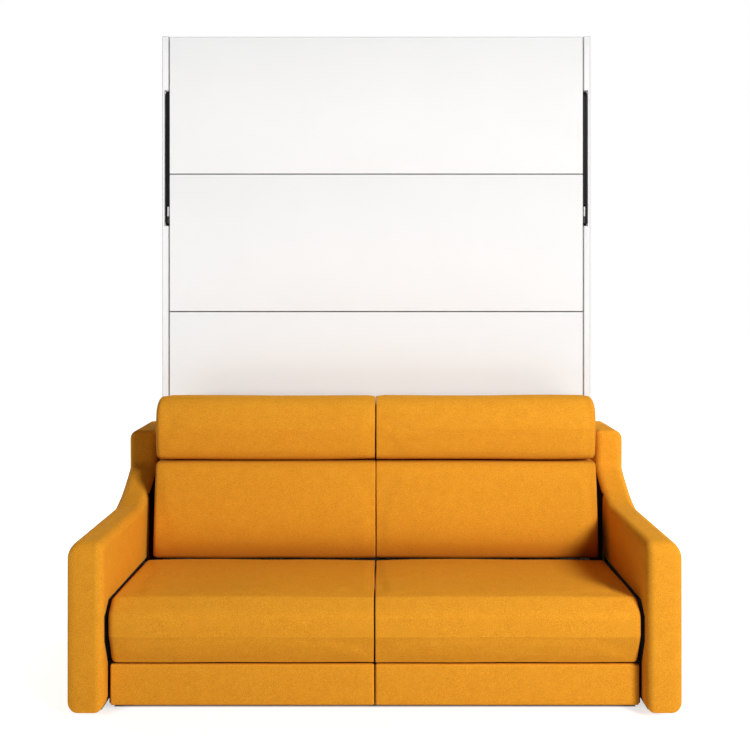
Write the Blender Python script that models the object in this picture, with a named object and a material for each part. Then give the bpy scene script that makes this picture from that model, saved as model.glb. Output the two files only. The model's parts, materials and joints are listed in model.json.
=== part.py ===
"""A wall bed with a two-seat sofa in front of its cabinet.

The bed stands on end in the cabinet and tips forward on two pivots. The sofa's back rides on the bed's face,
so it swings down behind the seat as the bed comes down. Two legs stay upright on the bed's sides, and two
gas springs carry the bed's weight. Under each seat is a drawer.

Metres, +Z up, the sofa faces -Y. The origin is under the middle of the whole piece, at floor level.
Depths are written as a distance forward of the cabinet's front, so a negative one lies inside the cabinet.
"""

import math

import bmesh
import bpy
from mathutils import Matrix, Vector

# Driving sizes of the cabinet
CABINET_WIDTH = 1.650
CABINET_HEIGHT = 2.254
CABINET_DEPTH = 0.485
PANEL = 0.025
BACK_SHEET = 0.0057
FIT = 0.0003
INNER_HALF = CABINET_WIDTH / 2 - PANEL
BACK_INSIDE = -(CABINET_DEPTH - BACK_SHEET)

# Driving sizes of the sofa, whose arms lap over the cabinet's sides
SOFA_REACH = 0.844
ARM_WIDTH = 0.105
ARM_LAP = 0.017
FOOT_HEIGHT = 0.020
ARM_INNER = INNER_HALF + PANEL - ARM_LAP
ARM_HALF = ARM_INNER + ARM_WIDTH
FRONT_Y = (SOFA_REACH - CABINET_DEPTH) / 2

# Bed sizes
FACE_THICK = 0.018
FACE_SIDE_GAP = 0.003
FACE_JOINT = 0.002
FACE_HALF = INNER_HALF - FACE_SIDE_GAP
FACE_BOTTOM = 0.280
BOTTOM_BOARD = 0.382
EQUAL_BOARDS = 3
FACE_TOP = CABINET_HEIGHT - FACE_JOINT
FACE_PITCH = (FACE_TOP - FACE_BOTTOM - BOTTOM_BOARD) / EQUAL_BOARDS
MATTRESS_WIDTH = 1.500
MATTRESS_THICK = 0.180
MATTRESS_SIDE_GAP = 0.002
RAIL_THICK = 0.020
RAIL_DEPTH = 0.100
RAIL_INNER = MATTRESS_WIDTH / 2 + MATTRESS_SIDE_GAP
RAIL_OUTER = RAIL_INNER + RAIL_THICK
RAIL_FRONT = -(FACE_THICK + FIT)
RAIL_BACK = RAIL_FRONT - RAIL_DEPTH
END_RAIL = 0.018
BED_TOP_GAP = 0.005
BED_TOP = CABINET_HEIGHT - PANEL - BED_TOP_GAP

# Bed pivot, on the cabinet's sides
PIVOT_BEHIND = 0.150
PIVOT_HEIGHT = 0.600
PIN_RADIUS = 0.010
PIN_PLAY = 0.0004

# Leg sizes
LEG_BEHIND = 0.002
LEG_DEPTH = 0.050
LEG_BAR = 0.008
LEG_SLEEVE = 0.0077
LEG_ABOVE_PIVOT = 0.033
LEG_GAP = 0.001
LEG_FLOOR_GAP = 0.001
LEG_PIVOT_BEHIND = LEG_BEHIND + LEG_DEPTH / 2
LEG_REACH = PIVOT_HEIGHT - PIVOT_BEHIND + LEG_PIVOT_BEHIND - LEG_FLOOR_GAP
LEG_LENGTH = LEG_REACH + LEG_ABOVE_PIVOT
LEG_TOP_DROP = 0.212
LEG_TOP = CABINET_HEIGHT - LEG_TOP_DROP
LEG_FOOT = LEG_TOP - LEG_LENGTH
LEG_PIVOT_Z = LEG_TOP - LEG_ABOVE_PIVOT
LEG_X0 = FACE_HALF + LEG_GAP
LEG_X1 = LEG_X0 + LEG_SLEEVE + FIT
LEG_X2 = LEG_X1 + LEG_BAR
LEG_SLEEVE_LIFT = 0.072
LEG_PAD = 0.024
LEG_HEAD_ROUND = 0.0237
LEG_BOLT_RADIUS = 0.006

# Gas spring sizes, with both ends placed from the bed's pivot
SPRING_TOP_BEHIND = 0.140
SPRING_TOP_ABOVE = 0.520
SPRING_FOOT_BEHIND = 0.055
SPRING_FOOT_BELOW = 0.095
SPRING_X = 0.787
TUBE_RADIUS = 0.009
TUBE_BORE = 0.0058
ROD_RADIUS = 0.005
EYE_RADIUS = 0.011
EYE_HALF = 0.0055
STUD_RADIUS = 0.005
TUBE_NECK = 0.008
TUBE_START = 0.012
TUBE_LENGTH = 0.313
TUBE_BLIND = 0.075
ROD_LENGTH = 0.335

# Padding sizes
BACK_SIDE_GAP = 0.032
SEAT_SIDE_GAP = 0.007
BACK_HALF = ARM_INNER - BACK_SIDE_GAP
SEAT_HALF = ARM_INNER - SEAT_SIDE_GAP
SEAT_GAP = 0.0015
CUSHION_GAP = 0.002
BACK_PAD_REAR = 0.125
OVERRUN = 0.010
ROUND_STEPS = 3
CROWN_SHARES = (0.25, 0.5, 0.75)
LEAST_ROUND_SHARE = 0.2

GREY_WHITE = ("white_laminate", (0.86, 0.86, 0.85), 0.45, 0.0)
YELLOW_CLOTH = ("yellow_cloth", (0.80, 0.40, 0.05), 0.95, 0.0)
BLACK_STEEL = ("black_steel", (0.015, 0.015, 0.015), 0.5, 0.3)
ZINC_STEEL = ("zinc_steel", (0.60, 0.61, 0.62), 0.35, 1.0)
PLYWOOD = ("plywood", (0.72, 0.55, 0.36), 0.6, 0.0)
BEECH = ("beech", (0.78, 0.60, 0.40), 0.5, 0.0)
TICKING = ("white_ticking", (0.86, 0.86, 0.84), 0.9, 0.0)
BLACK_PLASTIC = ("black_plastic", (0.02, 0.02, 0.02), 0.6, 0.0)


def clear_scene():
    for old in list(bpy.data.objects):
        bpy.data.objects.remove(old)


def material(look):
    """The named Principled material, made once."""
    name, colour, roughness, metallic = look
    found = bpy.data.materials.get(name)
    if found:
        return found
    made = bpy.data.materials.new(name)
    made.use_nodes = True
    shader = made.node_tree.nodes["Principled BSDF"]
    shader.inputs["Base Color"].default_value = (*colour, 1.0)
    shader.inputs["Roughness"].default_value = roughness
    shader.inputs["Metallic"].default_value = metallic
    made.diffuse_color = (*colour, 1.0)
    return made


def finish(bm, name, look):
    """Turns a bmesh into a named object with its faces pointing out."""
    bmesh.ops.recalc_face_normals(bm, faces=bm.faces)
    mesh = bpy.data.meshes.new(name)
    bm.to_mesh(mesh)
    bm.free()
    mesh.materials.append(material(look))
    mesh.set_sharp_from_angle(angle=math.radians(35))
    made = bpy.data.objects.new(name, mesh)
    bpy.context.scene.collection.objects.link(made)
    return made


def add_box(bm, xs, forwards, zs):
    """A board between two x values, two depths and two heights."""
    x0, x1 = sorted(xs)
    y0, y1 = sorted(FRONT_Y - forward for forward in forwards)
    z0, z1 = sorted(zs)
    centre = Vector(((x0 + x1) / 2, (y0 + y1) / 2, (z0 + z1) / 2))
    size = Matrix.Diagonal((x1 - x0, y1 - y0, z1 - z0, 1))
    bmesh.ops.create_cube(bm, size=1, matrix=Matrix.Translation(centre) @ size)


def add_bar(bm, xs, forward, z, radius, sides=16):
    """A round bar along X."""
    x0, x1 = sorted(xs)
    centre = Vector(((x0 + x1) / 2, FRONT_Y - forward, z))
    turn = Matrix.Rotation(math.pi / 2, 4, "Y")
    bmesh.ops.create_cone(bm, cap_ends=True, segments=sides, radius1=radius, radius2=radius,
                          depth=x1 - x0, matrix=Matrix.Translation(centre) @ turn)


def board(name, xs, forwards, zs, look=GREY_WHITE):
    bm = bmesh.new()
    add_box(bm, xs, forwards, zs)
    return finish(bm, name, look)


def both(half_values):
    """The same span on the left and on the right."""
    near, far = half_values
    return ((-1, (-near, -far)), (1, (near, far)))


def skin(bm, rings):
    """A closed surface through rings of points, capped at both ends."""
    rings = [[bm.verts.new(point) for point in ring] for ring in rings]
    for first, second in zip(rings, rings[1:]):
        for i in range(len(first)):
            j = (i + 1) % len(first)
            bm.faces.new((first[i], first[j], second[j], second[i]))
    bm.faces.new(rings[0])
    bm.faces.new(rings[-1])


def prism(bm, outline, xs):
    """An outline of (forward, z) points extruded along X."""
    skin(bm, [[(x, FRONT_Y - f, z) for f, z in outline] for x in sorted(xs)])


def rounded(corners, steps=ROUND_STEPS):
    """An outline with each corner (forward, z, radius) turned into an arc."""
    points = []
    for i, (f, z, radius) in enumerate(corners):
        here = Vector((f, z))
        before = Vector(corners[i - 1][:2]) - here
        after = Vector(corners[(i + 1) % len(corners)][:2]) - here
        if radius == 0:
            points.append((f, z))
            continue
        half = before.angle(after) / 2
        reach = radius / math.tan(half)
        start = here + before.normalized() * reach
        end = here + after.normalized() * reach
        middle = here + (before.normalized() + after.normalized()).normalized() * (radius / math.sin(half))
        for k in range(steps + 1):
            a, b = start - middle, end - middle
            t = k / steps
            spoke = a.lerp(b, t).normalized() * radius if k not in (0, steps) else (a if k == 0 else b)
            points.append(tuple(middle + spoke))
    return points


def outward(outline):
    """The outward direction at each point of an outline, lengthened at corners."""
    area = sum(a[0] * b[1] - b[0] * a[1] for a, b in zip(outline, outline[1:] + outline[:1]))
    sign = 1 if area > 0 else -1
    found = []
    for i, point in enumerate(outline):
        before = (Vector(point) - Vector(outline[i - 1])).normalized()
        after = (Vector(outline[(i + 1) % len(outline)]) - Vector(point)).normalized()
        normals = [Vector((e.y, -e.x)) * sign for e in (before, after)]
        mean = (normals[0] + normals[1]).normalized()
        found.append(mean / max(mean.dot(normals[0]), 0.5))
    return found


def padded(name, corners, xs, inner_round, outer_round, crown=0.0, facing=(0, 1), look=YELLOW_CLOTH,
           shares=(1, 1)):
    """Upholstery: corners (forward, z, radius) carried along X, drawn in round at both ends.

    The crown rises on the side that it faces. The shares say how much of the outer end's rounding the front
    edge and the upper edges take.
    """
    x0, x1 = xs
    way = 1 if x1 > x0 else -1
    normals = outward([corner[:2] for corner in corners])
    foremost = max(corner[0] for corner in corners)
    heights = [corner[1] for corner in corners]
    middle = (min(heights) + max(heights)) / 2
    turns = [math.pi / 2 * k / ROUND_STEPS for k in range(ROUND_STEPS + 1)]
    stations = []
    for turn in turns:
        x = x0 + way * inner_round * (1 - math.cos(turn))
        stations.append((x, inner_round * (1 - math.sin(turn)), (1, 1)))
    for share in CROWN_SHARES if crown else ():
        stations.append((x0 + (x1 - x0) * share, 0.0, (1, 1)))
    for turn in reversed(turns):
        x = x1 - way * outer_round * (1 - math.cos(turn))
        stations.append((x, outer_round * (1 - math.sin(turn)), shares))
    rings = []
    for x, inset, (front_share, top_share) in stations:
        along = (x - (x0 + x1) / 2) / ((x1 - x0) / 2)
        rise = crown * (1 - along * along)
        moved = []
        for (f, z, radius), normal in zip(corners, normals):
            swell = rise * max(0.0, normal.normalized().dot(Vector(facing)))
            place = Vector((f, z)) + normal * (swell - inset)
            if f == foremost:
                place.x = f + (place.x - f) * front_share
            if z > middle:
                place.y = z + (place.y - z) * top_share
            moved.append((place.x, place.y, max(radius - inset, radius * LEAST_ROUND_SHARE)))
        rings.append([(x, FRONT_Y - f, z) for f, z in rounded(moved)])
    bm = bmesh.new()
    skin(bm, rings)
    return finish(bm, name, look)


def boolean(target, bm, name, operation="DIFFERENCE"):
    """Cuts or joins a bmesh, kept as a hidden guide object."""
    guide = finish(bm, name, PLYWOOD)
    guide.hide_render = True
    guide.display_type = "WIRE"
    modifier = target.modifiers.new(name, "BOOLEAN")
    modifier.operation = operation
    modifier.object = guide
    return guide


# Cabinet: side panels, each with a recess in its front edge where the bed's leg lies, and a fin left in the
# recess beside the leg's neck
NOTCH_SIDE_GAP = 0.001
NOTCH_BACK_GAP = 0.0023
NOTCH_TOP_GAP = 0.003
NOTCH_FOOT_GAP = 0.009
FIN_FOOT_GAP = 0.0025
FIN_TOP_GAP = 0.0065
SIDE_NAMES = {-1: "left", 1: "right"}


def side_panels():
    for side, xs in both((INNER_HALF, INNER_HALF + PANEL)):
        panel = board(SIDE_NAMES[side] + "_side_panel", xs, (0, -CABINET_DEPTH), (0, CABINET_HEIGHT))
        deep = -(LEG_BEHIND + LEG_DEPTH + NOTCH_BACK_GAP)
        fin_foot = LEG_FOOT + LEG_PAD + FIN_FOOT_GAP
        fin_top = LEG_FOOT + LEG_SLEEVE_LIFT - FIN_TOP_GAP
        for part, near, zs in (
            ("_leg_recess", INNER_HALF - OVERRUN, (fin_top, LEG_TOP + NOTCH_TOP_GAP)),
            ("_foot_recess", INNER_HALF - OVERRUN, (LEG_FOOT - NOTCH_FOOT_GAP, fin_foot)),
            ("_neck_recess", LEG_X0 + LEG_SLEEVE, (fin_foot - OVERRUN, fin_top + OVERRUN)),
        ):
            recess = bmesh.new()
            add_box(recess, (side * near, side * (LEG_X2 + NOTCH_SIDE_GAP)), (OVERRUN, deep), zs)
            boolean(panel, recess, SIDE_NAMES[side] + part)


# Cabinet: top, back, the rail low at the back, and an angle bracket in each top corner
TOP_SETBACK = 0.0023
REAR_RAIL = 0.024
BASE_RAIL_HEIGHT = 0.100
BRACKET_LEG = 0.040
BRACKET_THICK = 0.003
BRACKET_WIDTH = 0.060
BRACKET_BEHIND = 0.330


def cabinet_boards():
    half = INNER_HALF - FIT
    under_top = CABINET_HEIGHT - PANEL
    board("top_panel", (-half, half), (-(FACE_THICK + TOP_SETBACK), BACK_INSIDE + FIT),
          (under_top, CABINET_HEIGHT))
    board("back_panel", (-half, half), (BACK_INSIDE, -CABINET_DEPTH), (0, CABINET_HEIGHT))
    rail_back = BACK_INSIDE + FIT
    board("rear_base_rail", (-half, half), (rail_back, rail_back + REAR_RAIL), (0, BASE_RAIL_HEIGHT))
    wall = half
    top = under_top - FIT
    shape = ((wall, top), (wall - BRACKET_LEG, top), (wall - BRACKET_LEG, top - BRACKET_THICK),
             (wall - BRACKET_THICK, top - BRACKET_THICK), (wall - BRACKET_THICK, top - BRACKET_LEG),
             (wall, top - BRACKET_LEG))
    depths = [FRONT_Y + BRACKET_BEHIND, FRONT_Y + BRACKET_BEHIND + BRACKET_WIDTH]
    for side in (-1, 1):
        bm = bmesh.new()
        skin(bm, [[(side * x, y, z) for x, z in shape] for y in depths])
        finish(bm, SIDE_NAMES[side] + "_corner_bracket", ZINC_STEEL)


# Mechanism plates: the cabinet's plate carries a turned pin and the spring's stud, and the bed's plate turns
# on the pin
WALL_PLATE = 0.003
BED_PLATE = 0.005
WALL_PLATE_EDGE = 0.040
WALL_PLATE_TOP_EDGE = 0.026
PIN_SHOULDER = 0.018
BED_PLATE_TOP = 0.160
BED_PLATE_FOOT = 0.145
BED_PLATE_EDGE = 0.007
BED_PLATE_EAR = 0.024
EAR_ROUND = 0.021
WALL_PLATE_X = (INNER_HALF - FIT - WALL_PLATE, INNER_HALF - FIT)
BED_PLATE_X = (RAIL_OUTER + FIT, RAIL_OUTER + FIT + BED_PLATE)


def mechanism_plates():
    spring_top = (-PIVOT_BEHIND - SPRING_TOP_BEHIND, PIVOT_HEIGHT + SPRING_TOP_ABOVE)
    spring_foot = (-PIVOT_BEHIND - SPRING_FOOT_BEHIND, PIVOT_HEIGHT - SPRING_FOOT_BELOW)
    for side in (-1, 1):
        name = SIDE_NAMES[side]
        wide = WALL_PLATE_EDGE
        slim = WALL_PLATE_TOP_EDGE
        outline = rounded([
            (-PIVOT_BEHIND + wide, PIVOT_HEIGHT - wide, EAR_ROUND),
            (-PIVOT_BEHIND - wide, PIVOT_HEIGHT - wide, EAR_ROUND),
            (spring_top[0] - slim, spring_top[1], EAR_ROUND),
            (spring_top[0] - slim, spring_top[1] + slim, EAR_ROUND),
            (spring_top[0] + slim, spring_top[1] + slim, EAR_ROUND),
            (spring_top[0] + slim, spring_top[1], EAR_ROUND),
            (-PIVOT_BEHIND + wide, PIVOT_HEIGHT + wide, EAR_ROUND)])
        plate = bmesh.new()
        prism(plate, outline, [side * x for x in WALL_PLATE_X])
        made = finish(plate, name + "_wall_plate", BLACK_STEEL)
        weld = side * (WALL_PLATE_X[0] + WALL_PLATE / 2)
        pin = bmesh.new()
        pivot = Matrix.Translation((0, FRONT_Y + PIVOT_BEHIND, PIVOT_HEIGHT))
        turned(pin, [(abs(weld), 0), (abs(weld), PIN_SHOULDER), (BED_PLATE_X[1] + FIT, PIN_SHOULDER),
                     (BED_PLATE_X[1] + FIT, PIN_RADIUS), (BED_PLATE_X[0] - FIT, PIN_RADIUS),
                     (BED_PLATE_X[0] - FIT, 0)], pivot @ Matrix.Diagonal((side, 1, 1, 1)))
        boolean(made, pin, name + "_wall_plate_pin", "UNION")
        stud = bmesh.new()
        add_bar(stud, (weld, side * (SPRING_X - EYE_HALF - LEG_GAP)), *spring_top, STUD_RADIUS)
        boolean(made, stud, name + "_wall_plate_stud", "UNION")
        ear = BED_PLATE_EAR
        outline = rounded([
            (RAIL_FRONT - BED_PLATE_EDGE, PIVOT_HEIGHT + BED_PLATE_TOP, BED_PLATE_EDGE),
            (RAIL_FRONT - BED_PLATE_EDGE, PIVOT_HEIGHT - BED_PLATE_FOOT, BED_PLATE_EDGE),
            (RAIL_BACK + BED_PLATE_EDGE, PIVOT_HEIGHT - BED_PLATE_FOOT, BED_PLATE_EDGE),
            (spring_foot[0] - ear, spring_foot[1] - ear, EAR_ROUND),
            (spring_foot[0] - ear, spring_foot[1] + ear, EAR_ROUND),
            (-PIVOT_BEHIND - ear, PIVOT_HEIGHT + ear, EAR_ROUND),
            (RAIL_BACK + BED_PLATE_EDGE, PIVOT_HEIGHT + BED_PLATE_TOP, BED_PLATE_EDGE)])
        plate = bmesh.new()
        prism(plate, outline, [side * x for x in BED_PLATE_X])
        made = finish(plate, name + "_bed_plate", BLACK_STEEL)
        bore = bmesh.new()
        add_bar(bore, [side * (x + over) for x, over in zip(BED_PLATE_X, (-OVERRUN, OVERRUN))],
                -PIVOT_BEHIND, PIVOT_HEIGHT, PIN_RADIUS + PIN_PLAY, 24)
        boolean(made, bore, name + "_bed_plate_bore")
        stud = bmesh.new()
        stud_span = (side * (BED_PLATE_X[1] - FIT), side * (SPRING_X - EYE_HALF - FIT))
        add_bar(stud, stud_span, *spring_foot, STUD_RADIUS)
        boolean(made, stud, name + "_bed_plate_stud", "UNION")


def turned(bm, profile, place, sides=24):
    """A profile of (x, radius), which starts and ends on the axis, turned round the X axis."""
    rings = []
    for x, radius in profile:
        if radius == 0:
            rings.append([bm.verts.new(place @ Vector((x, 0, 0)))])
            continue
        angles = [2 * math.pi * k / sides for k in range(sides)]
        circle = [Vector((x, radius * math.cos(a), radius * math.sin(a))) for a in angles]
        rings.append([bm.verts.new(place @ point) for point in circle])
    for first, second in zip(rings, rings[1:]):
        for k in range(sides):
            j = (k + 1) % sides
            corners = [first[k % len(first)], first[j % len(first)],
                       second[j % len(second)], second[k % len(second)]]
            bm.faces.new(list(dict.fromkeys(corners)))


# Gas springs: a tube hung on the cabinet and a rod whose eye sits on the bed's plate
def spring_line():
    """The spring's top end, its foot, and its direction from top to foot with the bed up."""
    top = Vector((FRONT_Y + PIVOT_BEHIND + SPRING_TOP_BEHIND, PIVOT_HEIGHT + SPRING_TOP_ABOVE))
    foot = Vector((FRONT_Y + PIVOT_BEHIND + SPRING_FOOT_BEHIND, PIVOT_HEIGHT - SPRING_FOOT_BELOW))
    return top, foot, (foot - top).normalized()


def rod_between(bm, x, start, end, radius, sides=16):
    a = Vector((x, start.x, start.y))
    b = Vector((x, end.x, end.y))
    turn = (b - a).to_track_quat("Z", "Y").to_matrix().to_4x4()
    bmesh.ops.create_cone(bm, cap_ends=True, segments=sides, radius1=radius, radius2=radius,
                          depth=(b - a).length, matrix=Matrix.Translation((a + b) / 2) @ turn)


def gas_springs():
    top, foot, way = spring_line()
    for side in (-1, 1):
        x = side * SPRING_X
        name = SIDE_NAMES[side]
        eye_span = (x - EYE_HALF, x + EYE_HALF)
        tube = bmesh.new()
        tube_end = top + way * (TUBE_START + TUBE_LENGTH)
        rod_between(tube, x, top + way * TUBE_NECK, tube_end, TUBE_RADIUS)
        made = finish(tube, name + "_gas_tube", BLACK_STEEL)
        eye = bmesh.new()
        add_bar(eye, eye_span, FRONT_Y - top.x, top.y, EYE_RADIUS)
        boolean(made, eye, name + "_gas_tube_eye", "UNION")
        bore = bmesh.new()
        rod_between(bore, x, top + way * (TUBE_START + TUBE_BLIND), tube_end + way * OVERRUN, TUBE_BORE)
        boolean(made, bore, name + "_gas_tube_bore")
        hole = bmesh.new()
        hole_span = (x - EYE_HALF - OVERRUN, x + EYE_HALF + OVERRUN)
        add_bar(hole, hole_span, FRONT_Y - top.x, top.y, STUD_RADIUS + PIN_PLAY)
        boolean(made, hole, name + "_gas_tube_hole")
        rod = bmesh.new()
        rod_between(rod, x, foot, foot - way * ROD_LENGTH, ROD_RADIUS)
        made = finish(rod, name + "_gas_rod", ZINC_STEEL)
        eye = bmesh.new()
        add_bar(eye, eye_span, FRONT_Y - foot.x, foot.y, EYE_RADIUS)
        boolean(made, eye, name + "_gas_rod_eye", "UNION")


# Bed: four face boards, a rail frame, sprung slats, the mattress and its straps
SLAT_COUNT = 13
SLAT_WIDTH = 0.065
SLAT_THICK = 0.0097
SLAT_DEPTH = 0.058
LEDGE = 0.012
LEDGE_DEPTH = 0.020
BEAM_HALF = 0.015
MATTRESS_GAP = 0.0013
MATTRESS_ROUND = 0.030
STRAP = 0.0018
STRAP_WIDTH = 0.050
STRAP_SHARES = (0.30, 0.72)


def bed_frame():
    tops = [FACE_TOP - FACE_PITCH * k for k in range(EQUAL_BOARDS + 1)]
    names = ("upper_face_board", "middle_face_board", "lower_face_board", "bottom_face_board")
    for k, (name, top) in enumerate(zip(names, tops)):
        foot = top - FACE_PITCH + FACE_JOINT if k < EQUAL_BOARDS else FACE_BOTTOM
        board(name, (-FACE_HALF, FACE_HALF), (0, -FACE_THICK), (foot, top))
    for side, xs in both((RAIL_INNER, RAIL_OUTER)):
        board(SIDE_NAMES[side] + "_bed_rail", xs, (RAIL_FRONT, RAIL_BACK), (FACE_BOTTOM, BED_TOP), PLYWOOD)
    half = RAIL_INNER - FIT
    for name, foot in (("foot_end_rail", BED_TOP - END_RAIL), ("head_end_rail", FACE_BOTTOM)):
        board(name, (-half, half), (RAIL_FRONT, RAIL_BACK), (foot, foot + END_RAIL), PLYWOOD)
    low = FACE_BOTTOM + END_RAIL + FIT
    high = BED_TOP - END_RAIL - FIT
    slat_front = -SLAT_DEPTH
    slats = bmesh.new()
    pitch = (high - low) / SLAT_COUNT
    for k in range(SLAT_COUNT):
        centre = low + pitch * (k + 0.5)
        add_box(slats, (-half, half), (slat_front, slat_front - SLAT_THICK),
                (centre - SLAT_WIDTH / 2, centre + SLAT_WIDTH / 2))
    made = finish(slats, "slat_base", BEECH)
    beams = bmesh.new()
    glued = slat_front - SLAT_THICK / 2
    add_box(beams, (-BEAM_HALF, BEAM_HALF), (RAIL_FRONT, glued), (low, high))
    for _, xs in both((half - LEDGE - FIT, half - FIT)):
        add_box(beams, xs, (slat_front + LEDGE_DEPTH, glued), (low, high))
    boolean(made, beams, "slat_base_beams", "UNION")
    mattress_and_straps(slat_front - SLAT_THICK - FIT, low, high)


def mattress_and_straps(front, low, high):
    back = front - MATTRESS_THICK
    outline = [(front, low, MATTRESS_ROUND), (front, high - MATTRESS_GAP, MATTRESS_ROUND),
               (back, high - MATTRESS_GAP, MATTRESS_ROUND), (back, low, MATTRESS_ROUND)]
    half = MATTRESS_WIDTH / 2
    padded("mattress", outline, (-half, half), MATTRESS_ROUND, MATTRESS_ROUND, look=TICKING)
    outer = half + STRAP + FIT
    inner = half + FIT
    shape = ((-outer, RAIL_BACK - FIT), (-outer, back - FIT - STRAP), (outer, back - FIT - STRAP),
             (outer, RAIL_BACK - FIT), (inner, RAIL_BACK - FIT), (inner, back - FIT), (-inner, back - FIT),
             (-inner, RAIL_BACK - FIT))
    for name, share in zip(("lower_mattress_strap", "upper_mattress_strap"), STRAP_SHARES):
        z0 = low + (high - low) * share - STRAP_WIDTH / 2
        strap = bmesh.new()
        skin(strap, [[(x, FRONT_Y - f, z) for x, f in shape] for z in (z0, z0 + STRAP_WIDTH)])
        finish(strap, name, BLACK_PLASTIC)


# Bed legs: a flat bar, a shorter plate on its inner side, and a rubber foot, hung on one bolt
def legs():
    for side in (-1, 1):
        name = SIDE_NAMES[side]
        depths = (-LEG_BEHIND, -LEG_BEHIND - LEG_DEPTH)
        for piece, xs, foot, look in (
            ("_leg_bar", (LEG_X1, LEG_X2), LEG_FOOT, BLACK_STEEL),
            ("_leg_plate", (LEG_X0, LEG_X0 + LEG_SLEEVE), LEG_FOOT + LEG_SLEEVE_LIFT, BLACK_STEEL),
        ):
            outline = rounded([(depths[0], foot, 0), (depths[0], LEG_TOP, LEG_HEAD_ROUND),
                               (depths[1], LEG_TOP, LEG_HEAD_ROUND), (depths[1], foot, 0)], 5)
            bm = bmesh.new()
            prism(bm, outline, (side * xs[0], side * xs[1]))
            made = finish(bm, name + piece, look)
            hole = bmesh.new()
            hole_span = (side * (xs[0] - OVERRUN), side * (xs[1] + OVERRUN))
            add_bar(hole, hole_span, -LEG_PIVOT_BEHIND, LEG_PIVOT_Z, LEG_BOLT_RADIUS + PIN_PLAY)
            boolean(made, hole, name + piece + "_hole")
        board(name + "_leg_foot", (side * LEG_X0, side * (LEG_X0 + LEG_SLEEVE)), depths,
              (LEG_FOOT, LEG_FOOT + LEG_PAD), BLACK_PLASTIC)
        bolt = bmesh.new()
        bolt_span = (side * (RAIL_OUTER + FIT), side * (LEG_X2 - LEG_GAP))
        add_bar(bolt, bolt_span, -LEG_PIVOT_BEHIND, LEG_PIVOT_Z, LEG_BOLT_RADIUS)
        finish(bolt, name + "_leg_bolt", ZINC_STEEL)


# Sofa back: three timber posts and a board fixed to the bed's face, two back cushions and two headrests
POST = 0.030
FRAME_SETBACK = 0.006
FRAME_HALF = BACK_HALF - FRAME_SETBACK
FRAME_FOOT = 0.360
FRAME_TOP = 0.850
BOARD_THICK = 0.012
BACK_FOOT = 0.341
BACK_FOOT_FORWARD = 0.363
BACK_TOP_FORWARD = 0.319
HEADREST_FOOT = 0.677
HEADREST_SEAM = 0.005
BACK_TOP = HEADREST_FOOT - HEADREST_SEAM
HEADREST_TOP = 0.905
HEADREST_TOP_DROP = 0.022
HEADREST_SWELL = 0.014
HEADREST_TOP_FORWARD = 0.322
CUSHION_EDGE = 0.014
BACK_SIDE_ROUND = 0.014
SEAT_SIDE_ROUND = 0.022
HEADREST_SIDE_ROUND = 0.022
HEADREST_SHARES = (1, 1.7)


def sofa_back():
    board_front = BACK_PAD_REAR - FIT
    board_back = board_front - BOARD_THICK
    heights = (FRAME_FOOT, FRAME_TOP)
    for name, x in (("left", -FRAME_HALF), ("middle", -POST / 2), ("right", FRAME_HALF - POST)):
        board(name + "_back_post", (x, x + POST), (FIT, board_back - FIT), heights, PLYWOOD)
    board("back_board", (-FRAME_HALF, FRAME_HALF), (board_back, board_front), heights, PLYWOOD)
    back = [(BACK_PAD_REAR, BACK_FOOT, CUSHION_EDGE), (BACK_FOOT_FORWARD, BACK_FOOT, CUSHION_EDGE),
            ((BACK_FOOT_FORWARD + BACK_TOP_FORWARD) / 2 + CUSHION_GAP, (BACK_FOOT + BACK_TOP) / 2, 0),
            (BACK_TOP_FORWARD, BACK_TOP, CUSHION_EDGE), (BACK_PAD_REAR, BACK_TOP, CUSHION_EDGE)]
    waist = (HEADREST_FOOT + HEADREST_TOP) / 2
    head = [(BACK_PAD_REAR, HEADREST_FOOT, CUSHION_EDGE), (BACK_TOP_FORWARD, HEADREST_FOOT, CUSHION_EDGE),
            (HEADREST_TOP_FORWARD + HEADREST_SWELL, waist, HEADREST_SWELL * 4),
            (HEADREST_TOP_FORWARD, HEADREST_TOP, CUSHION_EDGE * 4),
            (BACK_PAD_REAR, HEADREST_TOP - HEADREST_TOP_DROP, CUSHION_EDGE)]
    for side in (-1, 1):
        name = SIDE_NAMES[side]
        xs = (side * CUSHION_GAP, side * BACK_HALF)
        padded(name + "_back_cushion", back, xs, CUSHION_EDGE / 2, BACK_SIDE_ROUND, CUSHION_GAP, (1, 0))
        padded(name + "_headrest", head, xs, CUSHION_EDGE / 2, HEADREST_SIDE_ROUND, CUSHION_GAP, (1, 0),
               shares=HEADREST_SHARES)


# Sofa base: plywood sides, divider and rear, the seat board, and the seat cushions
BASE_PANEL = 0.018
BASE_REAR_FRONT = 0.3747
BASE_TOP = 0.131
DRAWER_FACE = 0.018
DRAWER_SETBACK = 0.054
DRAWER_FACE_REAR = SOFA_REACH - DRAWER_SETBACK - DRAWER_FACE
DRAWER_TOP = 0.144
DRAWER_SIDE_GAP = 0.0074
DRAWER_HALF = ARM_INNER - DRAWER_SIDE_GAP
BASE_SIDE = 0.0257
BASE_SIDE_INNER = ARM_INNER - FIT - BASE_SIDE
BASE_FRONT = DRAWER_FACE_REAR - FIT
SEAT_REAR = 0.368
SEAT_BOTTOM = BASE_TOP + BASE_PANEL + FIT
SEAT_TOP_REAR = 0.343
SEAT_TOP_FRONT = 0.349
SEAT_EDGE_SETBACK = 0.060
SEAT_BULGE_SETBACK = 0.0145
SEAT_FOOT_SETBACK = 0.051
SEAT_EDGE_FORWARD = SOFA_REACH - SEAT_EDGE_SETBACK
SEAT_BULGE = SOFA_REACH - SEAT_BULGE_SETBACK
SEAT_FOOT_FORWARD = SOFA_REACH - SEAT_FOOT_SETBACK
SEAT_BULGE_TOP = 0.308
SEAT_BULGE_FOOT = 0.240
SEAT_CROWN = 0.004


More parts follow.
